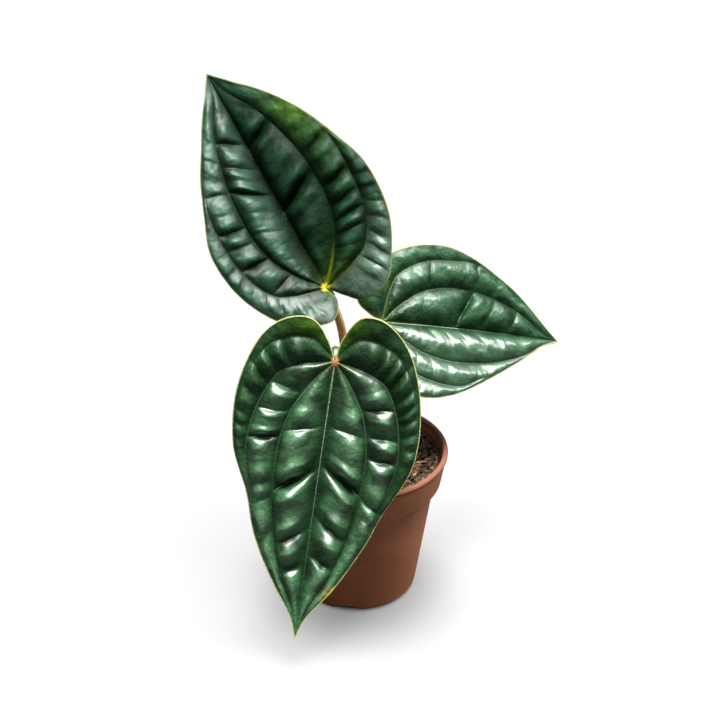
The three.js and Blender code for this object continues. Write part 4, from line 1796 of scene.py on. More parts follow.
@dataclass
class Crown:
    """The short stem in the mix, with its leaf scars, its old scale leaves and its roots."""

    x: float = 0.0
    y: float = 1.0
    profile: tuple[Pair, ...] = (
        (0, 44), (4, 45), (7, 50), (8.2, 58), (8.6, 66), (8, 71), (6.4, 74.5), (3.5, 76.3), (0, 76.8),
    )
    rounding: float = 2.0
    rounding_steps: int = 5
    fineness: float = 0.7
    scar_step: float = 2.6
    scar_depth: float = 0.21
    scar_sway: float = 0.8
    skin: Pair = (0.5, 3.2)
    calm_reach: float = 4.0
    segments: int = 72
    smooth_angle: float = 60.0
    root_radius: float = 1.7
    root_ring: Ring = Ring(((3, 55), (11, 49), (19, 37), (25, 21), (22, 9.5)), 20.0, 4, 60, 14)
    root_taper: float = 0.6
    root_tip: Triple = (0.7, 0.95, 1.0)
    root_skin: Pair = (0.12, 20.0)
    scale_ring: Ring = Ring(((5.6, 66), (8.2, 73.5), (9.3, 80), (8.7, 86.5)), 90.0, 3, 40, 24)
    scale_radius: float = 1.9
    scale_shape: Pair = (0.8, 1.15)
    scale_taper: float = 0.7
    scale_tip: Triple = (0.55, 0.86, 1.0)
    scale_wave: Triple = (0.07, 9.0, 5.0)
    scale_lean: Pair = (0.15, 3.1)

    def stem(self) -> Piece:
        """Model the stem: a spun body with rings of scars and a rough skin."""
        corners = [(radius, height, self.rounding) for radius, height in self.profile]
        profile = rounded(corners, self.rounding_steps)
        fine = []
        for start, end in zip(profile, profile[1:]):
            count = max(1, round(math.dist(start, end) / self.fineness))
            fine += [between(start, end, step / count) for step in range(count)]
        piece = spun("crown_stem", [*fine, profile[-1]], self.segments)

        def rough(point: Vector) -> Vector:
            """Return a point of the rough, scarred skin at the crown's place.

            Args:
                point: The point of the plain spun body.

            Returns:
                Its new place.
            """
            spot = point / MM
            size, reach = self.skin
            swayed = spot.z + self.scar_sway * math.sin(math.atan2(spot.y, spot.x))
            bump = self.scar_depth * math.sin(math.tau * swayed / self.scar_step)
            bump += size * noise.noise(spot / reach)
            outward = Vector((spot.x, spot.y, 0)).normalized() * min(1.0, spot.xy.length / self.calm_reach)
            return (spot + outward * bump + Vector((self.x, self.y, 0))) * MM

        move_points(piece, rough)
        shade(piece)
        return piece

    def scales(self) -> Piece:
        """Model the dry scale leaves that clasp the petioles, as keeled, tapered blades."""
        tip_loss, *tip = self.scale_tip
        wave, along, around = self.scale_wave
        thin, wide = self.scale_shape
        leaning, lean_step = self.scale_lean

        def radii(share: float, angle: float, index: int) -> Pair:
            """Return the half widths of a scale leaf.

            Args:
                share: The share of its length.
                angle: The angle round it.
                index: The leaf's number.

            Returns:
                The two half widths, in millimetres.
            """
            taper = (1 - self.scale_taper * share) * (1 - tip_loss * smooth_step(*tip, share))
            lean = leaning * math.sin(lean_step * index)
            waved = 1 + wave * math.sin(along * share + around * angle) + lean * share
            size = self.scale_radius * taper * waved
            return size * thin, size * wide

        return self.tubes("scale_leaves", self.scale_ring, radii)

    def roots(self) -> Piece:
        """Model the thick roots that run down through the mix."""
        tip_loss, *tip = self.root_tip
        skin, skin_scale = self.root_skin

        def radii(share: float, angle: float, index: int) -> Pair:
            """Return the half widths of a root.

            Args:
                share: The share of its length.
                angle: The angle round it.
                index: The root's number.

            Returns:
                The two half widths, in millimetres.
            """
            taper = (1 - self.root_taper * share) * (1 - tip_loss * smooth_step(*tip, share))
            uneven = skin * noise.noise(Vector((share * skin_scale, angle, index)))
            return (self.root_radius * taper + uneven,) * 2

        return self.tubes("roots", self.root_ring, radii)

    def tubes(self, name: str, ring: Ring, radii: Callable[[float, float, int], Pair]) -> Piece:
        """Model a ring of tubes as one piece.

        Args:
            name: The name of the piece.
            ring: Where the tubes run and how fine they are.
            radii: Gives a tube's half widths at a share of its length and an angle, by its number.

        Returns:
            The piece.
        """
        tubes = []
        for index in range(ring.count):
            angle = math.radians(ring.first + 360 / ring.count * index)
            path = SmoothPath([
                Vector((self.x + reach * math.cos(angle), self.y + reach * math.sin(angle), height))
                for reach, height in ring.points
            ])
            widths = partial(radii, index=index)
            tubes.append(tube(f"{name}_{index}", path, widths, ring.steps, ring.sides))
        piece = join(tubes, name)
        shade(piece, self.smooth_angle)
        return piece


@dataclass
class Pot:
    """A thin moulded pot: stepped band, beaded lip, recessed and drained floor, notched foot."""

    height: float = 77.0
    rim_radius: float = 45.0
    rim_inner: float = 42.4
    bead_height: float = 2.4
    band_top: float = 44.4
    band_bottom: float = 41.9
    band_bottom_z: float = 60.5
    band_wall: float = 1.5
    body_top: float = 38.9
    foot: float = 30.4
    foot_round: float = 1.8
    wall: float = 1.3
    recess: float = 3.6
    floor: float = 1.5
    foot_ring: float = 3.2
    pad: float = 8.0
    segments: int = 144
    notch_width: float = 12.0
    notch_count: int = 4
    notch_first: float = -99.0
    drain_radius: float = 3.0
    drain_ring: float = 18.0
    drain_count: int = 6
    drain_sides: int = 32
    cutter_depth: float = 12.0
    cutter_margin: float = 4.0
    cutter_sink: float = 0.1
    smooth_angle: float = 35.0

    def inner_radius(self, height: float) -> float:
        """Return the radius of the inside.

        Args:
            height: The height over the surface that the pot stands on.

        Returns:
            The radius, in millimetres.
        """
        if height > self.band_bottom_z:
            share = (height - self.band_bottom_z) / (self.height - self.band_bottom_z)
            return lerp(self.band_bottom - self.band_wall, self.rim_inner, share)
        return lerp(self.foot, self.body_top, height / self.band_bottom_z) - self.wall

    def profile(self) -> list[Pair]:
        """Return the profile from the middle of the underside to the middle of the floor."""
        bead_foot = self.height - self.bead_height
        floor_top = self.recess + self.floor
        step_inside = self.band_bottom_z - self.band_wall
        return rounded([
            (0, 0, 0),
            (self.pad, 0, 0.3),
            (self.pad + 0.8, self.recess, 0.4),
            (self.foot - self.foot_ring - 0.6, self.recess, 0.4),
            (self.foot - self.foot_ring, 0, 0.3),
            (self.foot - self.foot_round, 0, 0.7),
            (self.foot, self.foot_round, 0.9),
            (self.body_top, self.band_bottom_z - 0.5, 0.3),
            (self.band_bottom, self.band_bottom_z, 0.5),
            (self.band_top, bead_foot, 0.3),
            (self.rim_radius, bead_foot + 0.5, 0.4),
            (self.rim_radius, self.height - 0.8, 0.6),
            (self.rim_radius - 0.8, self.height, 0.6),
            (self.rim_inner + 0.6, self.height, 0.5),
            (self.rim_inner, self.height - 0.7, 0.5),
            (self.inner_radius(self.band_bottom_z + 0.1), self.band_bottom_z + 0.1, 0.4),
            (self.inner_radius(step_inside), step_inside, 0.4),
            (self.inner_radius(floor_top + 1.2), floor_top + 1.2, 0.5),
            (self.inner_radius(floor_top) - 1.4, floor_top, 0.6),
            (0, floor_top, 0),
        ])

    def cutters(self) -> Piece:
        """Return the notches' and the drain holes' solids as one cutter."""
        parts = []
        for index in range(self.notch_count):
            angle = math.radians(self.notch_first + 360 / self.notch_count * index)
            reach = self.foot - self.foot_ring / 2 + 1
            clear_selection()
            bpy.ops.mesh.primitive_cube_add(size=1)
            part = newest("notch")
            turn = Matrix.Rotation(angle, 4, "Z") @ Matrix.Translation((reach, 0, -self.cutter_sink))
            sizes = (self.foot_ring + self.cutter_margin, self.notch_width, 2 * self.recess, 1)
            part.data.transform(Matrix.Scale(MM, 4) @ turn @ Matrix.Diagonal(sizes))
            parts.append(part)
        for index in range(self.drain_count):
            angle = math.tau * (index + 0.5) / self.drain_count
            clear_selection()
            bpy.ops.mesh.primitive_cylinder_add(
                vertices=self.drain_sides, radius=self.drain_radius * MM, depth=self.cutter_depth * MM
            )
            part = newest("drain")
            place = (self.drain_ring * math.cos(angle), self.drain_ring * math.sin(angle), self.recess)
            part.data.transform(Matrix.Translation(Vector(place) * MM))
            parts.append(part)
        return join(parts, "pot_cutters")

    def build(self) -> Piece:
        """Model the pot."""
        piece = spun("pot_shell", self.profile(), self.segments)
        cut_away(piece, self.cutters())
        shade(piece, self.smooth_angle)
        return piece


class Bark(Enum):
    """The finishes of bark: how many chips, their length and their width range."""

    BLACK = ("bark_black", 380, (3.0, 6.5), (1.2, 2.6))
    BROWN = ("bark_brown", 330, (2.6, 6.0), (0.9, 2.1))
    TAN = ("bark_tan", 60, (3.0, 6.0), (0.8, 1.5))


@dataclass
class PottingMix:
    """Bark mix: a crumbly body that fills the pot, and loose chips and fibres lying on it.

    The steps of the bed are heights over its floor, the pot's ledge and the pot's band. The
    wear, the bulge and the shift of a chip are sizes with how fine their noise is.
    """

    pot: Pot
    level: float = 70.5
    mound: float = 1.6
    clearance: float = 0.4
    bed_gap: float = 0.3
    bed_corner: float = 1.8
    bed_steps: Triple = (1.0, 0.3, 0.9)
    top_lift: float = 1e-3
    still_edge: float = 0.1
    segments: int = 150
    ring_step: float = 0.75
    crumbs: tuple[Pair, Pair, Pair] = ((0.99, 5.5), (0.605, 2.2), (0.33, 1.0))
    calm_edge: float = 2.0
    smooth_angle: float = 50.0
    seed: int = 11
    chip_reach: float = 39.5
    chip_shapes: int = 6
    chip_bevel: float = 0.17
    chip_pinch: Pair = (0.45, 0.4)
    chip_skew: float = 0.2
    chip_wear: Pair = (0.35, 2.6)
    chip_bulge: Pair = (0.16, 1.7)
    chip_shift: Pair = (0.12, 3.1)
    chip_spacing: float = 50.0
    chip_thickness: Pair = (1.0, 2.2)
    chip_lift: Pair = (0.1, 1.5)
    chip_tilt: Pair = (0.35, 0.24)
    chip_angle: float = 40.0
    wall_band: float = 3.0
    wall_turn: float = 0.3
    crown_reach: float = 8.5
    fibres: int = 60
    fibre_ring: Pair = (10.5, 35.0)
    fibre_length: Pair = (4, 9)
    fibre_thickness: Pair = (0.16, 0.32)
    fibre_bend: Pair = (1.1, 1.4)
    fibre_lift: Triple = (1.1, 0.5, 2.0)
    fibre_mesh: tuple[int, int] = (10, 6)

    def edge(self) -> float:
        """Return the radius of the top of the mix."""
        return self.pot.inner_radius(self.level) - self.clearance

    def surface(self, x: float, y: float) -> float:
        """Return the height of the crumbly top.

        Args:
            x: The place to the right of the pot's middle.
            y: The place behind it.

        Returns:
            The height, in millimetres.
        """
        reach = math.hypot(x, y)
        rise = self.mound * (1 - reach / self.edge())
        spot = Vector((x, y, 4.0))
        crumbs = sum(size * noise.noise(spot / width) for size, width in self.crumbs)
        return self.level + rise + crumbs * min(1.0, (self.edge() - reach) / self.calm_edge)

    def bed(self) -> Piece:
        """Model the body of the mix, as deep as the pot."""
        bottom = self.pot.recess + self.pot.floor + self.bed_gap
        band = self.pot.band_bottom_z
        levels = (bottom, band - self.pot.band_wall, band)
        profile = [(0.0, bottom), (self.pot.inner_radius(bottom) - self.bed_corner, bottom)]
        for height in (*(level + step for level, step in zip(levels, self.bed_steps)), self.level):
            profile.append((self.pot.inner_radius(height) - self.clearance, height))
        rings = round(self.edge() / self.ring_step)
        top = self.level + self.top_lift
        profile += [(self.edge() * (1 - ring / rings), top) for ring in range(1, rings + 1)]
        piece = spun("mix_bed", profile, self.segments)

        def crumble(point: Vector) -> Vector:
            """Return a point of the top raised to the crumbly surface."""
            spot = point / MM
            if spot.z < self.level or spot.xy.length > self.edge() - self.still_edge:
                return point
            return Vector((spot.x, spot.y, self.surface(spot.x, spot.y))) * MM

        move_points(piece, crumble)
        shade(piece, self.smooth_angle)
        return piece

    def chip_shape(self, random: Random) -> tuple[list[Vector], list[tuple[int, ...]]]:
        """Model one chip: a cube, cut, bevelled and worn, one unit long.

        Args:
            random: The source of the wear.

        Returns:
            Its points and its faces.
        """
        clear_selection()
        bpy.ops.mesh.primitive_cube_add(size=1)
        piece = newest("chip")
        with editing(piece):
            bpy.ops.mesh.bevel(offset=self.chip_bevel, segments=1)
        least, spread = self.chip_pinch
        pinch = least + spread * random.random()
        skew = self.chip_skew * (random.random() - 0.5)
        seed = Vector((random.random() * self.chip_spacing, 0, 0))

        def uneven(place: Vector, size: float, fineness: float) -> float:
            """Return noise of a size at a place on the chip."""
            return size * noise.noise(place * fineness + seed)

        for point in piece.data.vertices:
            narrow = lerp(1.0, pinch, point.co.x + 0.5)
            wear = 1 + uneven(point.co, *self.chip_wear)
            point.co.y = point.co.y * narrow * wear + skew * point.co.x
            point.co.z = point.co.z * wear + uneven(point.co, *self.chip_bulge)
            point.co.x += uneven(point.co, *self.chip_shift)
        points = [point.co.copy() for point in piece.data.vertices]
        faces = [tuple(face.vertices) for face in piece.data.polygons]
        bpy.data.objects.remove(piece)
        return points, faces

    def scatter(self, bark: Bark) -> Piece:
        """Lay the chips of one finish on the mix.

        Args:
            bark: The finish, with its count and sizes.

        Returns:
            One piece that holds them all.
        """
        name, count, lengths, widths = bark.value
        random = Random(self.seed + count)
        shapes = [self.chip_shape(random) for _ in range(self.chip_shapes)]
        points: list[Vector] = []
        faces: list[tuple[int, ...]] = []
        for index in range(count):
            length = random.uniform(*lengths)
            width = random.uniform(*widths)
            sizes = Matrix.Diagonal((length, width, random.uniform(*self.chip_thickness), 1))
            least = (self.crown_reach / self.chip_reach) ** 2
            reach = math.sqrt(random.uniform(least, 1)) * self.chip_reach
            angle = random.uniform(0, math.tau)
            x, y = reach * math.cos(angle), reach * math.sin(angle)
            heading = random.uniform(0, math.tau)
            if reach > self.chip_reach - self.wall_band:
                heading = angle + math.pi / 2 + random.uniform(-self.wall_turn, self.wall_turn)
            tilt = Euler((*(random.gauss(0, spread) for spread in self.chip_tilt), heading))
            lift = self.surface(x, y) + random.uniform(*self.chip_lift)
            place = Matrix.Translation((x, y, lift)) @ tilt.to_matrix().to_4x4() @ sizes
            shape_points, shape_faces = shapes[index % len(shapes)]
            start = len(points)
            points += [place @ point * MM for point in shape_points]
            faces += [tuple(start + corner for corner in face) for face in shape_faces]
        mesh = bpy.data.meshes.new(name)
        mesh.from_pydata(points, [], faces)
        piece = bpy.data.objects.new(name, mesh)
        bpy.context.collection.objects.link(piece)
        shade(piece, self.chip_angle)
        return piece

    def strands(self) -> Piece:
        """Lay thin, bent fibres on the mix."""
        random = Random(self.seed)
        bend, bend_step = self.fibre_bend
        lift, lift_sway, lift_step = self.fibre_lift
        fibres = []
        for index in range(self.fibres):
            reach = random.uniform(*self.fibre_ring)
            angle = random.uniform(0, math.tau)
            heading = random.uniform(0, math.tau)
            length = random.uniform(*self.fibre_length)
            points = []
            for step in range(4):
                run = length * (step / 3 - 0.5)
                bent = bend * math.sin(bend_step * step + index)
                x = reach * math.cos(angle) + run * math.cos(heading) - bent * math.sin(heading)
                y = reach * math.sin(angle) + run * math.sin(heading) + bent * math.cos(heading)
                height = self.surface(x, y) + lift + lift_sway * math.sin(lift_step * step + index)
                points.append(Vector((x, y, height)))
            widths = (random.uniform(*self.fibre_thickness),) * 2
            path = SmoothPath(points)
            fibres.append(tube(f"fibre_{index}", path, lambda share, angle: widths, *self.fibre_mesh))
        return join(fibres, "mix_fibres")


# The studio


@dataclass(frozen=True)
class Sun:
    """A distant soft light: the way to it, its strength and how many degrees wide it looks."""

    name: str
    towards: Triple
    strength: float
    degrees: float
    sheen_only: bool = False


@dataclass
class Studio:
    """A pale floor, soft overhead light and the camera at the photograph's angle.

    A shade of the floor is a painted shadow round the pot: its centre and its reach in metres and the glow
    that is left there.
    """

    camera_place: Triple = (0.0, -535.0, 412.5)
    camera_pitch: float = 61.71
    camera_turn: float = -0.25
    lens: float = 65.0
    sensor: float = 36.0
    clip_end: float = 50.0
    floor_size: float = 60.0
    floor_depth: float = 0.2
    floor_colour: Colour = (0.11, 0.11, 0.11)
    floor_bounce: Colour = (0.06, 0.06, 0.06)
    floor_glow: float = 0.75
    # Painted shadow round the pot; the last shade is the dark contact shadow under its foot
    shades: tuple[tuple[Triple, Pair, float], ...] = (
        ((0.005, -0.013, 0.0), (0.016, 0.07), 0.6),
        ((0.004, -0.014, 0.0), (0.014, 0.058), 0.62),
        ((0.0, 0.0, 0.0), (0.026, 0.0312), 0.0),
    )
    suns: tuple[Sun, ...] = (
        Sun("overhead", (0.12, -0.1, 1.0), 7.5, 25),
        Sun("side", (0.89, 0.42, 0.83), 2.4, 30),
        Sun("sheen", (0.1, 0.0, 1.0), 13, 60, sheen_only=True),
    )
    overhead: Span = Span(0.0, 1.0, 0.04, 0.28)
    horizon: Span = Span(0.05, 0.09, 1.0, 0.0)

    def camera(self) -> None:
        """Set the camera."""
        clear_selection()
        place = Vector(self.camera_place) * MM
        turn = (math.radians(self.camera_pitch), 0, math.radians(self.camera_turn))
        bpy.ops.object.camera_add(location=place, rotation=turn)
        camera = bpy.context.object
        camera.name = "camera"
        camera.data.lens = self.lens
        camera.data.sensor_width = self.sensor
        camera.data.clip_end = self.clip_end
        bpy.context.scene.camera = camera

    def light(self, sun: Sun) -> None:
        """Add a light.

        Args:
            sun: The light; where it is for the sheen alone, only reflections show it.
        """
        clear_selection()
        bpy.ops.object.light_add(type="SUN", location=sun.towards)
        light = bpy.context.object
        light.name = sun.name
        light.data.energy = sun.strength
        light.data.angle = math.radians(sun.degrees)
        light.rotation_euler = (-Vector(sun.towards)).to_track_quat("-Z", "Y").to_euler()
        light.visible_diffuse = not sun.sheen_only
        light.visible_transmission = not sun.sheen_only

    def floor_finish(self) -> Material:
        """Return the floor's finish.

        Returns:
            Pale to the camera, with a painted shadow that dims it round the pot, and with little light
            thrown back up.
        """
        bench = Surface("pale_floor")
        bench.tree.nodes.remove(bench.shader)
        bounce, seen = (
            bench.fed("BsdfDiffuse", {"Color": colour}).outputs[0]
            for colour in (self.floor_bounce, self.floor_colour)
        )
        strength = self.floor_glow
        # Each shade dims the glow round the pot into a painted shadow
        for centre, reach, left in self.shades:
            inputs = {0: bench.object_place(), 1: centre}
            distance = bench.fed("VectorMath", inputs, operation="DISTANCE").outputs["Value"]
            strength = bench.product(strength, bench.span(distance, (*reach, left, 1.0)))
        glow = bench.fed("Emission", {"Strength": strength}).outputs[0]
        lit = bench.fed("AddShader", {0: seen, 1: glow}).outputs[0]
        by_camera = bench.node("LightPath").outputs["Is Camera Ray"]
        mixed = bench.fed("MixShader", {0: by_camera, 1: bounce, 2: lit}).outputs[0]
        bench.feed(bench.output.inputs["Surface"], mixed)
        return bench.material

    def floor(self) -> None:
        """Lay the floor, just under the pot."""
        clear_selection()
        bpy.ops.mesh.primitive_plane_add(size=self.floor_size, location=(0, 0, -self.floor_depth * MM))
        floor = newest("floor")
        floor.data.materials.append(self.floor_finish())

    def surroundings(self) -> None:
        """Light the surroundings, softly overhead and white at the horizon."""
        world = bpy.data.worlds.new("studio")
        world.use_nodes = True
        bench = Bench(world.node_tree)
        upward = bench.parts(bench.node("TexCoord").outputs["Generated"])[2]
        background = world.node_tree.nodes["Background"]
        bench.feed(background.inputs["Color"], Effects.WHITE)
        strength = bench.most(bench.span(upward, self.overhead), bench.span(upward, self.horizon))
        bench.feed(background.inputs["Strength"], strength)
        bpy.context.scene.world = world

    def build(self) -> None:
        """Set up the floor, the lights, the surroundings and the camera."""
        self.floor()
        for sun in self.suns:
            self.light(sun)
        self.surroundings()
        bpy.context.scene.view_settings.view_transform = "Standard"
        self.camera()


BLADES = (
    Blade(
        name="front",
        base=(-8.8, -34, 142.1),
        tip=(-27.8, -74, 20),
        face=(0.05, -1, 0.45),
        fold=(0.1, 0.1),
        bow=-2.2,
        lobe_lift=0.006,
        lobe_band=True,
        rib_swell=1.3,
        outline=(
            ((-9, 4), (-18, 12), (-17, 24), (-6, 34.5), (17, 41), (42, 39.5), (63, 31), (80, 26), (93, 20),
             (106, 12.5), (119, 4)),
            ((-11, 2), (-21.5, 9), (-20, 21), (-7, 33), (16, 40.5), (42, 41), (66, 31), (80, 26), (94, 19.5),
             (106, 13), (119, 4)),
        ),
        ribs=(
            (
                ((4.5, 0.25), (5.6, 0.6), (6.3, 0.3), (7.15, 1), (8.2, 0.35), (9, 0.8), (10, 1),
                 (10.8, 0.3)),
                ((4.25, 0.9), (5, 0.7), (5.4, 0.3), (5.77, 1), (6.4, 0.35), (6.85, 0.6), (7.3, 0.8),
                 (8.45, 0.6),
                 (9.3, 0.4)),
                ((2.5, 0.5), (3.3, 0.9), (3.95, 0.9), (4.4, 0.9), (4.85, 0.8), (5.35, 0.7), (5.6, 0.7),
                 (5.85, 0.8),
                 (6.2, 0.6)),
            ),
            (
                ((4.5, 0.25), (5.55, 0.6), (6.3, 0.3), (6.97, 1), (7.9, 0.35), (8.6, 0.8), (9.72, 1),
                 (10.6, 0.3)),
                ((3.9, 0.35), (4.65, 0.9), (5.47, 0.9), (6.03, 1), (6.5, 0.4), (7, 0.9), (7.5, 0.4),
                 (8.15, 0.6),
                 (9, 0.4)),
                ((2.4, 0.5), (3.2, 0.9), (3.7, 0.7), (4.1, 1), (4.55, 0.8), (4.85, 0.7), (5.1, 0.7),
                 (5.4, 0.7),
                 (5.7, 0.7), (6, 0.7)),
            ),
        ),
        glows=(Glow(0, 3, 1.6, 1.5, 0.9), Glow(1, 3, 1.2, 1.3, 0.8), Glow(0, 3, 3.6, 1.2, 0.35)),
        yellowing=((104.5, 13.6, 1.8), (107, 12.4, 2.0), (110, 10.6, 1.8)),
    ),
    Blade(
        name="top",
        base=(-13.3, 0, 161.9),
        tip=(-68.2, 55, 244.8),
        face=(-0.02, -1, 0.55),
        fold=(0.42, 0.28),
        bow=1,
        lobe_lift=0.02,
        lobe_band=False,
        rise=((0.26, 0.27, 0.22, 0.22), (0.26, 0.27, 0.14, 0.14)),
        cross_shift=1.0,
        inner_shift=(0.75, 1.4),
        minor_ribs=2.2,
        wave_sizes=(1.1, 0.3, 0.25),
        outline=(
            ((-8, 6), (-14.5, 13), (-13, 25), (-4, 32.5), (14, 41), (37, 42.5), (56, 37), (71, 31), (82, 25),
             (93, 17.5), (104, 8)),
            ((-8, -2), (-15.5, 4), (-12, 16), (-3, 27), (15, 36), (36, 38), (54, 32), (69, 26), (81, 19.5),
             (93, 13), (104, 6)),
        ),
        ribs=(
            (
                ((5.3, 0.4), (6, 0.4), (6.8, 1), (7.7, 0.4), (8.6, 0.4), (9.3, 1), (10.3, 0.4)),
                ((4, 0.5), (4.6, 0.7), (5.1, 0.8), (5.6, 0.9), (6.2, 1), (6.7, 0.5), (7.25, 0.8), (8, 0.5),
                 (8.8, 0.4), (9.6, 0.4)),
                ((2.8, 0.6), (3.4, 0.7), (4, 0.8), (4.4, 0.7), (4.8, 0.8), (5.2, 0.7), (5.55, 0.8),
                 (5.9, 0.7),
                 (6.2, 0.7), (6.6, 0.6)),
            ),
            (
                ((5.2, 0.3), (6, 0.4), (6.7, 0.4), (7.5, 0.8), (8, 0.4), (8.5, 0.7), (9.5, 0.9),
                 (10.6, 0.6)),
                ((4, 0.8), (5.15, 1), (5.8, 0.7), (6.3, 1), (6.8, 0.5), (7.45, 0.8), (7.95, 0.6),
                 (8.65, 0.7),
                 (9.4, 0.5), (10.3, 0.4)),
                ((2, 0.5), (2.6, 0.6), (3.2, 0.7), (3.7, 0.7), (4.2, 0.8), (4.6, 0.7), (5, 0.8), (5.4, 0.7),
                 (5.8, 0.8), (6.3, 0.7)),
            ),
        ),
        glows=(Glow(0, 1, 8.3, 1.4, 1.0), Glow(0, 1, 1.8, 1.6, 0.5, 1), Glow(0, 0, 2.5, 1.6, 0.5, 0)),
    ),
    Blade(
        name="right",
        base=(12.5, 12, 138.4),
        tip=(103.1, 50, 107.9),
        face=(0.5, -0.62, 0.61),
        fold=(0.26, 0.26),
        bow=2.6,
        lobe_lift=0,
        lobe_band=False,
        rise=((0.25, 0.25, 0.2, 0.2), (0.27, 0.25, 0.12, 0.12)),
        cross_shift=1.0,
        inner_shift=(1.0, 1.0),
        rib_depth=((0.4, 0.4, 0.35), (1.1, 0.9, 0.6)),
        wave_sizes=(1.0, 0.35, 0.25),
        outline=(
            ((-7, 3.5), (-13, 10), (-11, 21), (-4, 31), (13, 38), (29, 36), (44, 30), (58, 23), (70, 16.5),
             (81, 10.5), (92, 4)),
            ((-7, 3.5), (-13, 9), (-12, 19), (-5, 28), (12, 36), (31, 38), (48, 33.5), (62, 27), (74, 20.5),
             (84, 13.5), (94, 6)),
        ),
        ribs=(
            (
                ((4.8, 0.4), (5.6, 0.5), (6.3, 0.6), (7, 0.5), (7.9, 0.6), (9, 0.5), (10, 0.3)),
                ((3.6, 0.5), (4.4, 0.5), (5.1, 0.7), (5.8, 0.4), (6.4, 0.4), (7, 0.5), (7.8, 0.4),
                 (8.8, 0.4)),
                ((2.6, 0.6), (3.2, 0.7), (3.8, 0.7), (4.3, 0.6), (4.8, 0.7), (5.25, 0.6), (5.8, 0.5),
                 (6.4, 0.4)),
            ),
            (
                ((5, 0.3), (7.1, 1), (8.3, 0.5), (9.6, 0.7), (10.6, 0.3)),
                ((3.9, 0.4), (4.6, 0.4), (5.3, 0.6), (5.9, 0.4), (6.6, 0.5), (7.1, 0.7), (8, 0.5), (9, 0.4)),
                ((2.6, 0.4), (3.4, 0.5), (4.2, 0.4), (4.9, 0.5), (5.6, 0.4), (6.3, 0.4), (7, 0.4)),
            ),
        ),
        glows=(Glow(1, 2, 3.0, 1.6, 0.4),),
    ),
)

PETIOLE_POINTS = {
    "front": ((-0.5, -3.6, 60), (-0.8, -3.9, 74), (-4, -5.5, 95), (-8, -10, 112)),
    "top": ((-4.2, 3.6, 60), (-4.3, 4, 76), (-4.2, 6, 100), (-4.8, 7.6, 124), (-7, 8, 140)),
    "right": ((4.3, 3.2, 60), (4.5, 3.8, 76), (4.6, 9, 98), (5.4, 16, 114)),
}

BLADE_FINISHES = {
    "front": BladeFinish("blade_face_front"),
    "top": BladeFinish(
        "blade_face_top",
        deep=linear(8, 26, 11),
        full=linear(22, 58, 34),
        # Painted sheen on the raised crests
        crest_sheen=linear(50, 94, 68),
        margin=linear(120, 138, 66),
        # Painted light shining through from behind
        shine_through=linear(74, 110, 14),
        joint=linear(206, 190, 50),
        gloss=0.5,
        coat=0.25,
        coat_gloss=0.46,
        shine=0.03,
        grain=0.00008,
        lobe_gloss=0.42,
        lobe_coat=0.52,
        lobe_reach=(0, 30),
        lobe_shine=0.9,
        half_shine=(0.5, 1.0),
        # Painted shade on the minus half's inner lanes
        half_shade=(0.55, 0.0),
        half_fan=(1.0, 0.2),
        # Painted sheen on the minus half's lobes
        half_lobe_shade_and_sheen=(0.35, 0.0),
        lobe_shade_and_sheen=linear(122, 150, 126),
        fan_share=0.5,
        vein_silver=0.0,
        spine_silver=0.0,
    ),
    "right": BladeFinish(
        "blade_face_right",
        full=linear(42, 86, 50),
        # Painted sheen on the raised crests
        crest_sheen=linear(70, 108, 80),
        margin=linear(168, 172, 98),
        joint=linear(84, 104, 48),
        # Painted shade near the joint
        base_shade=0.8,
        lobe_reach=(-300, -200),
        half_shine=(1.0, 0.2),
        coat_ior=1.75,
        fan_share=0.12,
    ),
}

PALE_MARGIN = MarginFinish()
DULL_MARGIN = MarginFinish("blade_margin_dull", linear(150, 158, 84), linear(104, 126, 56))
MARGIN_FINISHES = {"front": PALE_MARGIN, "top": DULL_MARGIN, "right": DULL_MARGIN}

CROWN_FINISHES = {
    "stem": PaperyFinish("crown_skin", linear(122, 110, 62), linear(70, 56, 34)),
    "scales": PaperyFinish("scale_skin", linear(150, 118, 76), linear(92, 66, 42)),
    "roots": PaperyFinish("root_skin", linear(196, 180, 146), linear(140, 118, 84), (60.0, 60.0, 60.0)),
}

BARK_FINISHES = {
    Bark.BLACK: BarkFinish("bark_black", linear(82, 64, 47), linear(42, 31, 23), 0.6),
    Bark.BROWN: BarkFinish("bark_brown", linear(142, 104, 70), linear(84, 58, 38), 0.65),
    Bark.TAN: BarkFinish("bark_tan", linear(204, 166, 118), linear(150, 108, 70), 0.65),
}
CRUMB_FINISH = BarkFinish("mix_crumbs", linear(72, 55, 40), linear(30, 22, 16), 0.8, 0.0006)
FIBRE_FINISH = BarkFinish("mix_fibre", linear(150, 106, 66), linear(84, 56, 36), 0.7)


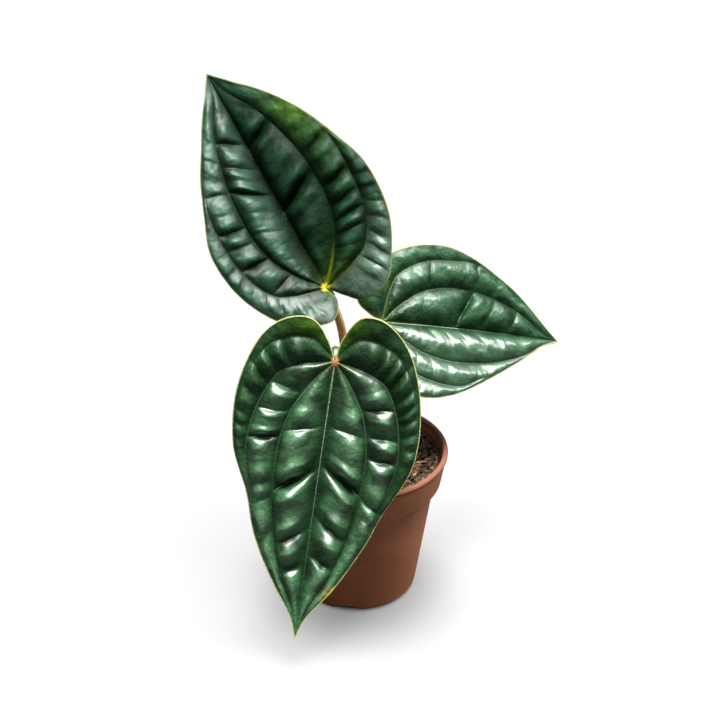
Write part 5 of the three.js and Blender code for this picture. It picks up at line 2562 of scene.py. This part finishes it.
def settle(piece: Piece, slot: Slot, node: str, *finishes: Material) -> None:
    """Settle a finished piece: its finish, its body and the node that it stands for, and log its slot.

    Args:
        piece: The finished piece.
        slot: The record's slot, which is only logged.
        node: The node of the frame that it replaces.
        *finishes: Its material, unless it has its materials already.
    """
    for finish in finishes:
        piece.data.materials.append(finish)
    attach(piece, BODY)
    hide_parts(node)
    LOG.info("%s: %d faces, slot %s", piece.name, len(piece.data.polygons), slot.value)


def dress_plant(effects: Effects) -> None:
    """Build the blades and their petioles.

    Args:
        effects: The shared effects.
    """
    back = BladeBackFinish().material(effects)
    margins = {finish: finish.material(effects) for finish in (PALE_MARGIN, DULL_MARGIN)}
    for blade in BLADES:
        face = BLADE_FINISHES[blade.name].material(effects)
        piece = blade.build((face, back, margins[MARGIN_FINISHES[blade.name]]))
        settle(piece, Slot.BLADE, f"leaf_{blade.name}")
        petiole = Petiole(blade, PETIOLE_POINTS[blade.name])
        stalk = petiole.build()
        settle(stalk, Slot.PETIOLE, f"petiole_{blade.name}", petiole.finish().material(effects))


def dress_crown(effects: Effects) -> None:
    """Build the crown, its scale leaves and its roots.

    Args:
        effects: The shared effects.
    """
    crown = Crown()
    for part, finish in CROWN_FINISHES.items():
        piece = getattr(crown, part)()
        settle(piece, Slot.CROWN, "crown_and_roots", finish.material(effects))


def dress_pot(effects: Effects) -> None:
    """Build the pot and the mix in it.

    Args:
        effects: The shared effects.
    """
    pot = Pot()
    settle(pot.build(), Slot.POT, "pot", PlasticFinish().material(effects))
    mix = PottingMix(pot)
    settle(mix.bed(), Slot.MIX, "potting_mix", CRUMB_FINISH.material(effects))
    for bark, finish in BARK_FINISHES.items():
        settle(mix.scatter(bark), Slot.MIX, "potting_mix", finish.material(effects))
    settle(mix.strands(), Slot.MIX, "potting_mix", FIBRE_FINISH.material(effects))


def main() -> None:
    """Build the studio and every piece, in order."""
    logging.basicConfig(level=logging.INFO, format="%(name)s: %(message)s")
    clear_selection()
    Studio().build()
    effects = Effects()
    dress_plant(effects)
    dress_crown(effects)
    dress_pot(effects)
    clear_selection()


if __name__ == "__main__":
    main()
